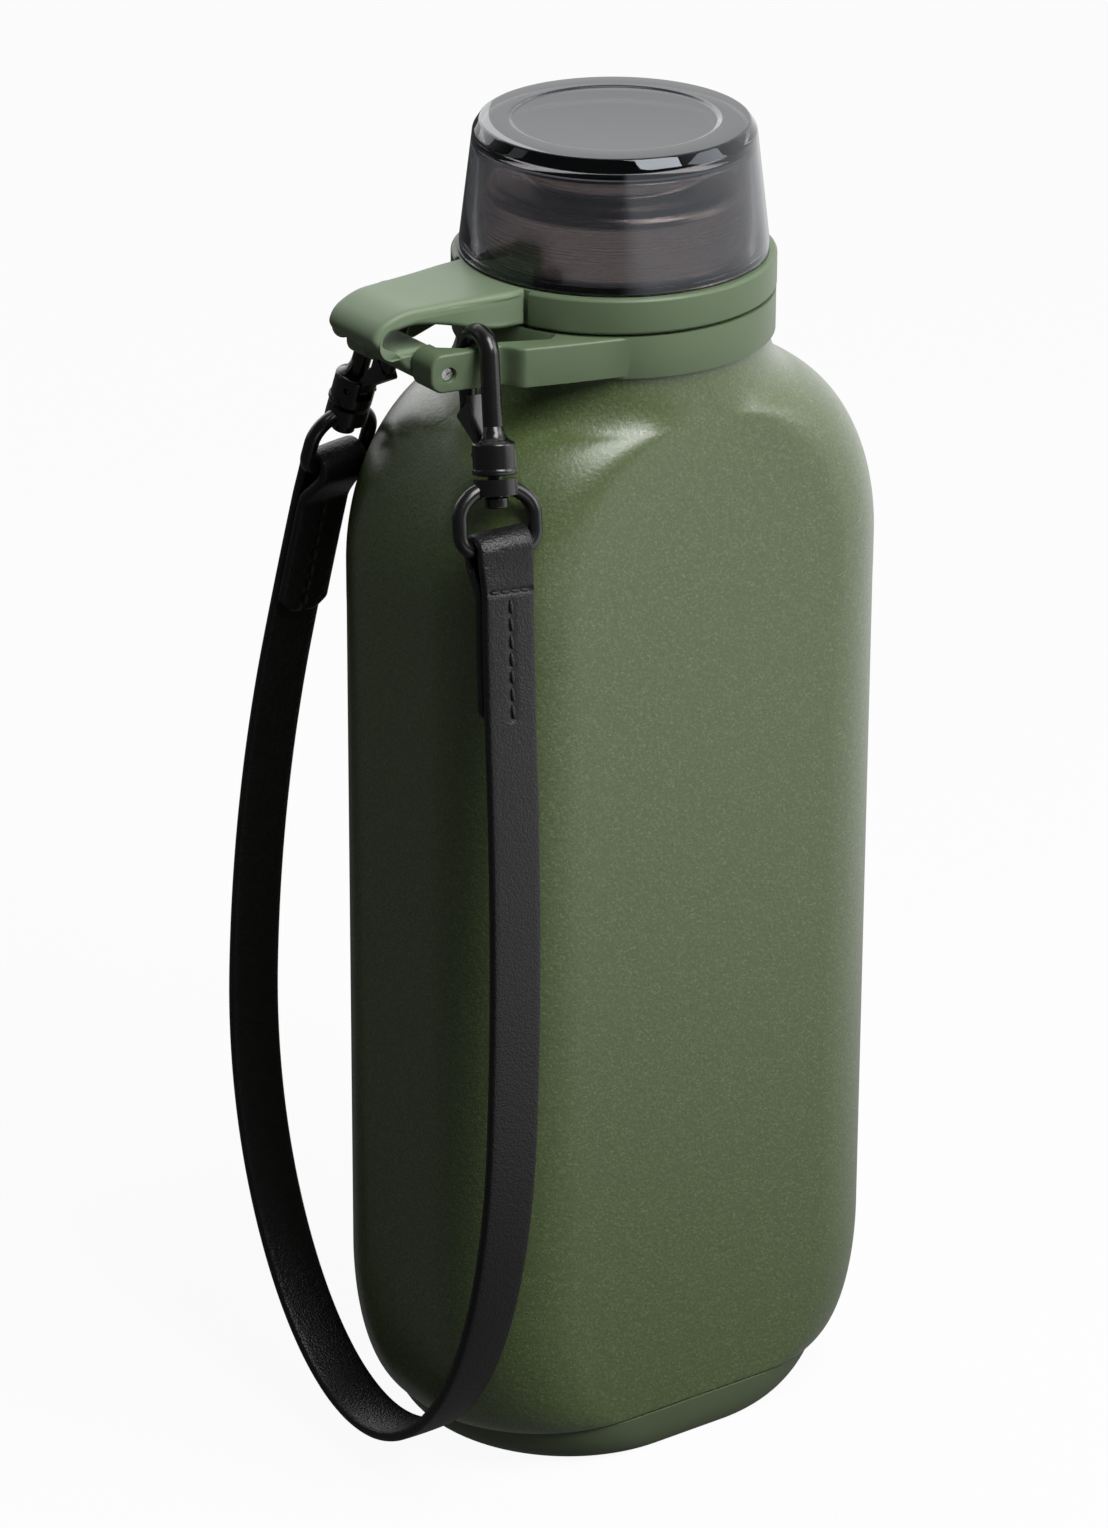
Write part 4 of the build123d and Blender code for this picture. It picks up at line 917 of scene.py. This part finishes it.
for sideName, side in (("front", -1), ("back", 1)):
    snap = sideName + "_snap"
    trims = [hookTrim(side, "shoulder"), hookTrim(side, "rim")]
    smoothCopy(sideName + "Hook", sideName + "_hook", blackMetal, snap, extra=trims)
    smoothCopy(sideName + "SwivelPost", sideName + "_swivel_post", blackMetal, snap)
    smoothCopy(sideName + "GatePin", sideName + "_gate_pin", blackMetal, snap, 0.1)
    smoothCopy(sideName + "GateSpring", sideName + "_gate_spring", springSteel, snap)
    smoothCopy(sideName + "Gate", sideName + "_gate", blackMetal, sideName + "_lever", 0.2)
    smoothCopy(sideName + "Ring", sideName + "_ring", blackMetal, "carry_strap")
print("hooks built")

# Leather strap: one strip from tongue to tongue, over both rings and round the hanging loop
strapShape = {
    "width": 11.6, "thickness": 2.2, "edge": 0.7, "crown": 0.12, "innerCrown": 0.3, "halfSpan": 46.9, "bottom": 7.5,
    "middle": 94.0, "lean": 10.9, "plane": 58.5, "bendZ": 45.0, "offset": 2.9, "pinch": 9.0, "tipLeast": 0.05,
    "tongue": 34.0, "tongueOut": 0.7, "tongueThin": 0.05, "tipRound": 0.7, "cut": 3.0, "cutCurve": 1.3, "below": 2,
    "seamDepth": 0.3, "seamEnd": 33.4, "seamWidth": 0.75, "creaseAt": 7.6, "creaseDepth": 0.45, "creaseWidth": 0.55,
    "innerTo": 0.8, "outerFrom": 2, "hanging": (-99, 9),
}
seamShape = {
    "count": 7, "length": 2.75, "pitch": 3.4, "first": 9.5, "thread": 0.42, "slant": 0.1, "sunk": 0.12,
    "innerSunk": 0.05, "crossCount": 4, "crossLength": 2.1, "crossSpan": 6.9, "crossAt": 7.6, "crossSlant": 0.08,
    "crossSunk": 0.3,
}
leatherLook = {
    "pattern": pebble, "grain": {"Cells": 2300, "Creases": 800},
    "tones": ((0.008, 0.008, 0.008), (0.015, 0.015, 0.0155)), "roughness": (0.30, 0.46), "bump": (0.32, 0.0004),
    "shader": {"Specular IOR Level": 0.42},
}
edgeLook = {
    "pattern": mouldGrain, "grain": {"Flow": 200, "Tooth": 900},
    "tones": ((0.005, 0.005, 0.005), (0.009, 0.009, 0.009)), "roughness": (0.28, 0.42), "bump": (0.15, 0.0003),
    "shader": {"Specular IOR Level": 0.3},
}
threadLook = {
    "pattern": brushedLines, "grain": {"Lines": 5000, "Around": 2500},
    "tones": ((0.006, 0.006, 0.006), (0.016, 0.016, 0.016)), "roughness": (0.4, 0.6), "bump": (0.6, 0.0003),
}
leather, paintedEdge = makeFinish("blackLeather", leatherLook), makeFinish("paintedEdge", edgeLook)
seamThread = makeFinish("seamThread", threadLook)


def wireSpot(side):
    base, across, inward, up = hookFrame(side)
    return base + up * hookShape["wireLevel"]


def bandX(height):
    # the loop leans to the neck above its bend
    s = strapShape
    if height <= s["bendZ"]:
        return -s["plane"]
    shift = wireSpot(1).x + s["plane"]
    rise = wireSpot(1).z - s["bendZ"]
    radius = (shift ** 2 + rise ** 2) / (2 * shift)
    return radius - sqrt(radius ** 2 - (height - s["bendZ"]) ** 2) - s["plane"]


def upperRun():
    # one end of the strip, from its tip over the ring wire, as (out from the wire, up the strap)
    s = strapShape
    inner, outer = s["tongueOut"], s["offset"]
    run = [(inner, -s["tongue"] + (s["tongue"] - s["pinch"]) * step / 72) for step in range(73)]
    for step in range(1, 25):
        share = step / 24
        run.append((inner + (-outer - inner) * eased(share), -s["pinch"] * (1 - share)))
    for step in range(1, 25):
        turn = pi * (1 - step / 24)
        run.append((outer * cos(turn), outer * sin(turn)))
    run += [(outer, -(s["tongue"] + s["below"]) * step / 84) for step in range(1, 85)]
    return run


def stripPath():
    # centre line from the front tongue to the back one, each point as (y, z, side, up the strap, out from the wire)
    s = strapShape
    lean = radians(s["lean"])
    wire = wireSpot(1)
    path = [(-(wire.y + out * cos(lean) - up * sin(lean)), wire.z + out * sin(lean) + up * cos(lean), -1, up, out)
            for out, up in upperRun()]
    reach = (wire.y * cos(lean) + wire.z * sin(lean) + s["offset"] - s["halfSpan"] * cos(lean)
             - s["middle"] * sin(lean))
    bow = reach / (1 - cos(lean))
    startY, startZ = -path[-1][0], path[-1][1]
    bowY, bowZ = s["halfSpan"] - bow + bow * cos(lean), s["middle"] + bow * sin(lean)
    depth = s["middle"] - s["bottom"] - s["thickness"] / 2
    loop = []
    for step in range(1, 13):
        share = step / 12
        loop.append((startY + (bowY - startY) * share, startZ + (bowZ - startZ) * share))
    for step in range(1, 41):
        turn = lean * (1 - step / 40)
        loop.append((s["halfSpan"] - bow + bow * cos(turn), s["middle"] + bow * sin(turn)))
    for step in range(1, 73):
        turn = pi / 2 * step / 72
        loop.append((s["halfSpan"] * cos(turn), s["middle"] - depth * sin(turn)))
    path += [(-y, z, -1, *s["hanging"]) for y, z in loop]
    return path + [(-y, z, 1, up, out) for y, z, side, up, out in reversed(path[:-1])]


def stripSection():
    # (share of the half width, +1 outer face or -1 inner or 0 edge, turn on the edge)
    shares = (-1, -0.8, -0.6, -0.4, -0.25, -0.14, -0.07, 0, 0.07, 0.14, 0.25, 0.4, 0.6, 0.8, 1)
    section = [(share, 1, 0) for share in shares]
    section += [(1, 0, pi / 2 - pi * step / 8) for step in range(1, 8)]
    section += [(-share, -1, 0) for share in shares]
    section += [(-1, 0, -pi / 2 - pi * step / 8) for step in range(1, 8)]
    return section


def buildStrap():
    s = strapShape
    path = stripPath()
    section = stripSection()
    spots = [Vector((bandX(z), y, z)) for y, z, side, up, out in path]
    rings = []
    marks = {-1: [], 1: []}
    for index, (y, z, side, up, out) in enumerate(path):
        before, after = spots[max(index - 1, 0)], spots[min(index + 1, len(spots) - 1)]
        along = (after - before).normalized()
        across = (Vector((1, 0, 0)) - along * along.x).normalized()
        face = along.cross(across)
        sewn, outside = up > s["hanging"][0], out > s["outerFrom"]
        tongue = out < s["innerTo"] and up <= -s["pinch"]
        flatHalf = s["width"] / 2 - s["edge"]
        thick = s["thickness"] / 2 - (s["tongueThin"] if tongue else 0)
        fromTip = up + s["tongue"]
        tip = 1.0
        if tongue and fromTip < s["cut"]:
            flatHalf -= s["cut"] * (1 - fromTip / s["cut"]) ** s["cutCurve"]
        if tongue and fromTip < s["tipRound"]:
            tip = sqrt(max(s["tipLeast"], 1 - (1 - fromTip / s["tipRound"]) ** 2))
        crease = s["creaseDepth"] * exp(-((up + s["creaseAt"]) / s["creaseWidth"]) ** 2) if sewn and outside else 0
        seam = s["seamDepth"] if (outside or tongue) and -s["seamEnd"] < up < -s["pinch"] else 0
        ring = []
        for share, outer, turn in section:
            width = share * flatHalf
            if outer:
                bulge = s["crown"] * (1 - share * share)
                dent = seam * exp(-((width / s["seamWidth"]) ** 2)) + crease
                if outer < 0:
                    bulge, dent = bulge * s["innerCrown"], 0
                rise = outer * (thick * tip + bulge - dent)
            else:
                width += s["edge"] * cos(turn)
                rise = thick * tip * sin(turn)
            ring.append(spots[index] + across * width + face * rise)
        # the fold follows the turned ring wire
        if up > -s["pinch"]:
            share = eased(min(1, (up + s["pinch"]) / s["pinch"]))
            spin = Matrix.Rotation(side * radians(hookShape["ringTurn"]) * share, 3, hookFrame(side)[3])
            wire = wireSpot(side)
            ring = [wire + spin @ (point - wire) for point in ring]
        rings.append([tuple(point) for point in ring])
        if sewn:
            marks[side].append((up, out, spots[index], across, face))
    kinds = [1 if 0 in (here[1], following[1]) else 0 for here, following in zip(section, section[1:] + section[:1])]
    startPole, endPole = [tuple(sum((Vector(p) for p in ring), Vector()) / len(ring))
                          for ring in (rings[0], rings[-1])]
    shape = skinRings(rings, startPole=startPole, endPole=endPole, kinds=kinds)
    mesh = meshOf(shape, "leatherStrap")
    addPiece("leatherStrap", mesh, [leather, paintedEdge], "carry_strap", ["strap"], 60)
    return marks


def markAt(marks, up, outer):
    # the strip's centre, width direction and outer face at a height up the strap
    s = strapShape
    chosen = [m for m in marks if (m[1] > s["outerFrom"] if outer else m[1] < s["innerTo"])]
    return min(chosen, key=lambda m: abs(m[0] - up))[2:]


def rowMesh(points):
    mesh = bpy.data.meshes.new("seamPath")
    mesh.from_pydata([point * mm for point in points], [(i, i + 1) for i in range(len(points) - 1)], [])
    return mesh


def buildSeam(name, side, marks):
    # a row of stitches on the outer face, one on the tongue and a short one across the fold
    u = seamShape
    rise = strapShape["thickness"] / 2 + strapShape["crown"] - u["sunk"]
    rows = []
    for outer, sunk in ((True, 0), (False, u["innerSunk"])):
        points = []
        for index in range(u["count"]):
            down = u["first"] + index * u["pitch"] + u["length"] / 2
            spot, across, face = markAt(marks[side], -down, outer)
            points.append(spot + face * (rise - sunk))
        rows.append((points, u["length"], u["slant"]))
    spot, across, face = markAt(marks[side], -u["crossAt"], True)
    points = []
    for index in range(u["crossCount"]):
        along = (index / (u["crossCount"] - 1) - 0.5) * u["crossSpan"]
        points.append(spot + across * along + face * (rise - u["crossSunk"]))
    rows.append((points, u["crossLength"], u["crossSlant"]))
    made = [growMesh(name, stitchTree, {
        "Stitches": len(points), "Length": length * mm, "Thread": u["thread"] * mm, "Slant": slant,
        "Finish": seamThread}, rowMesh(points)) for points, length, slant in rows]
    addPiece(name, joinMeshes(name, made), [seamThread], "carry_strap",
             [("front" if side < 0 else "back") + "_stitches"], 60)


strapMarks = buildStrap()
buildSeam("frontSeam", -1, strapMarks)
buildSeam("backSeam", 1, strapMarks)
print("strap built")

# Inner parts that the body hides keep their fitted shape and get their own finish
linerLook = {
    "pattern": brushedLines, "grain": {"Lines": 900, "Around": 30},
    "tones": ((0.48, 0.47, 0.45), (0.66, 0.65, 0.62)), "roughness": (0.28, 0.42), "bump": (0.1, 0.0002),
    "shader": {"Metallic": 1.0},
}
getterLook = {
    "pattern": pebble, "grain": {"Cells": 2400, "Creases": 900},
    "tones": ((0.36, 0.36, 0.36), (0.5, 0.5, 0.5)), "roughness": (0.6, 0.8), "bump": (0.4, 0.0003),
    "shader": {"Metallic": 0.7},
}
sealLook = {
    "pattern": mouldGrain, "grain": {"Flow": 400, "Tooth": 1500},
    "tones": ((0.16, 0.18, 0.2), (0.22, 0.24, 0.27)), "roughness": (0.1, 0.2), "bump": (0.05, 0.0002),
}
linerSteel = makeFinish("linerSteel", linerLook)
for nodeName, material in (("inner_liner", linerSteel), ("vacuum_base_plate", linerSteel),
                           ("getter_pill", makeFinish("getterMetal", getterLook)),
                           ("seal_bead", makeFinish("glassSeal", sealLook))):
    fitted = frame["nodes"][nodeName]
    fitted.data.materials.clear()
    fitted.data.materials.append(material)
print("inner parts finished")
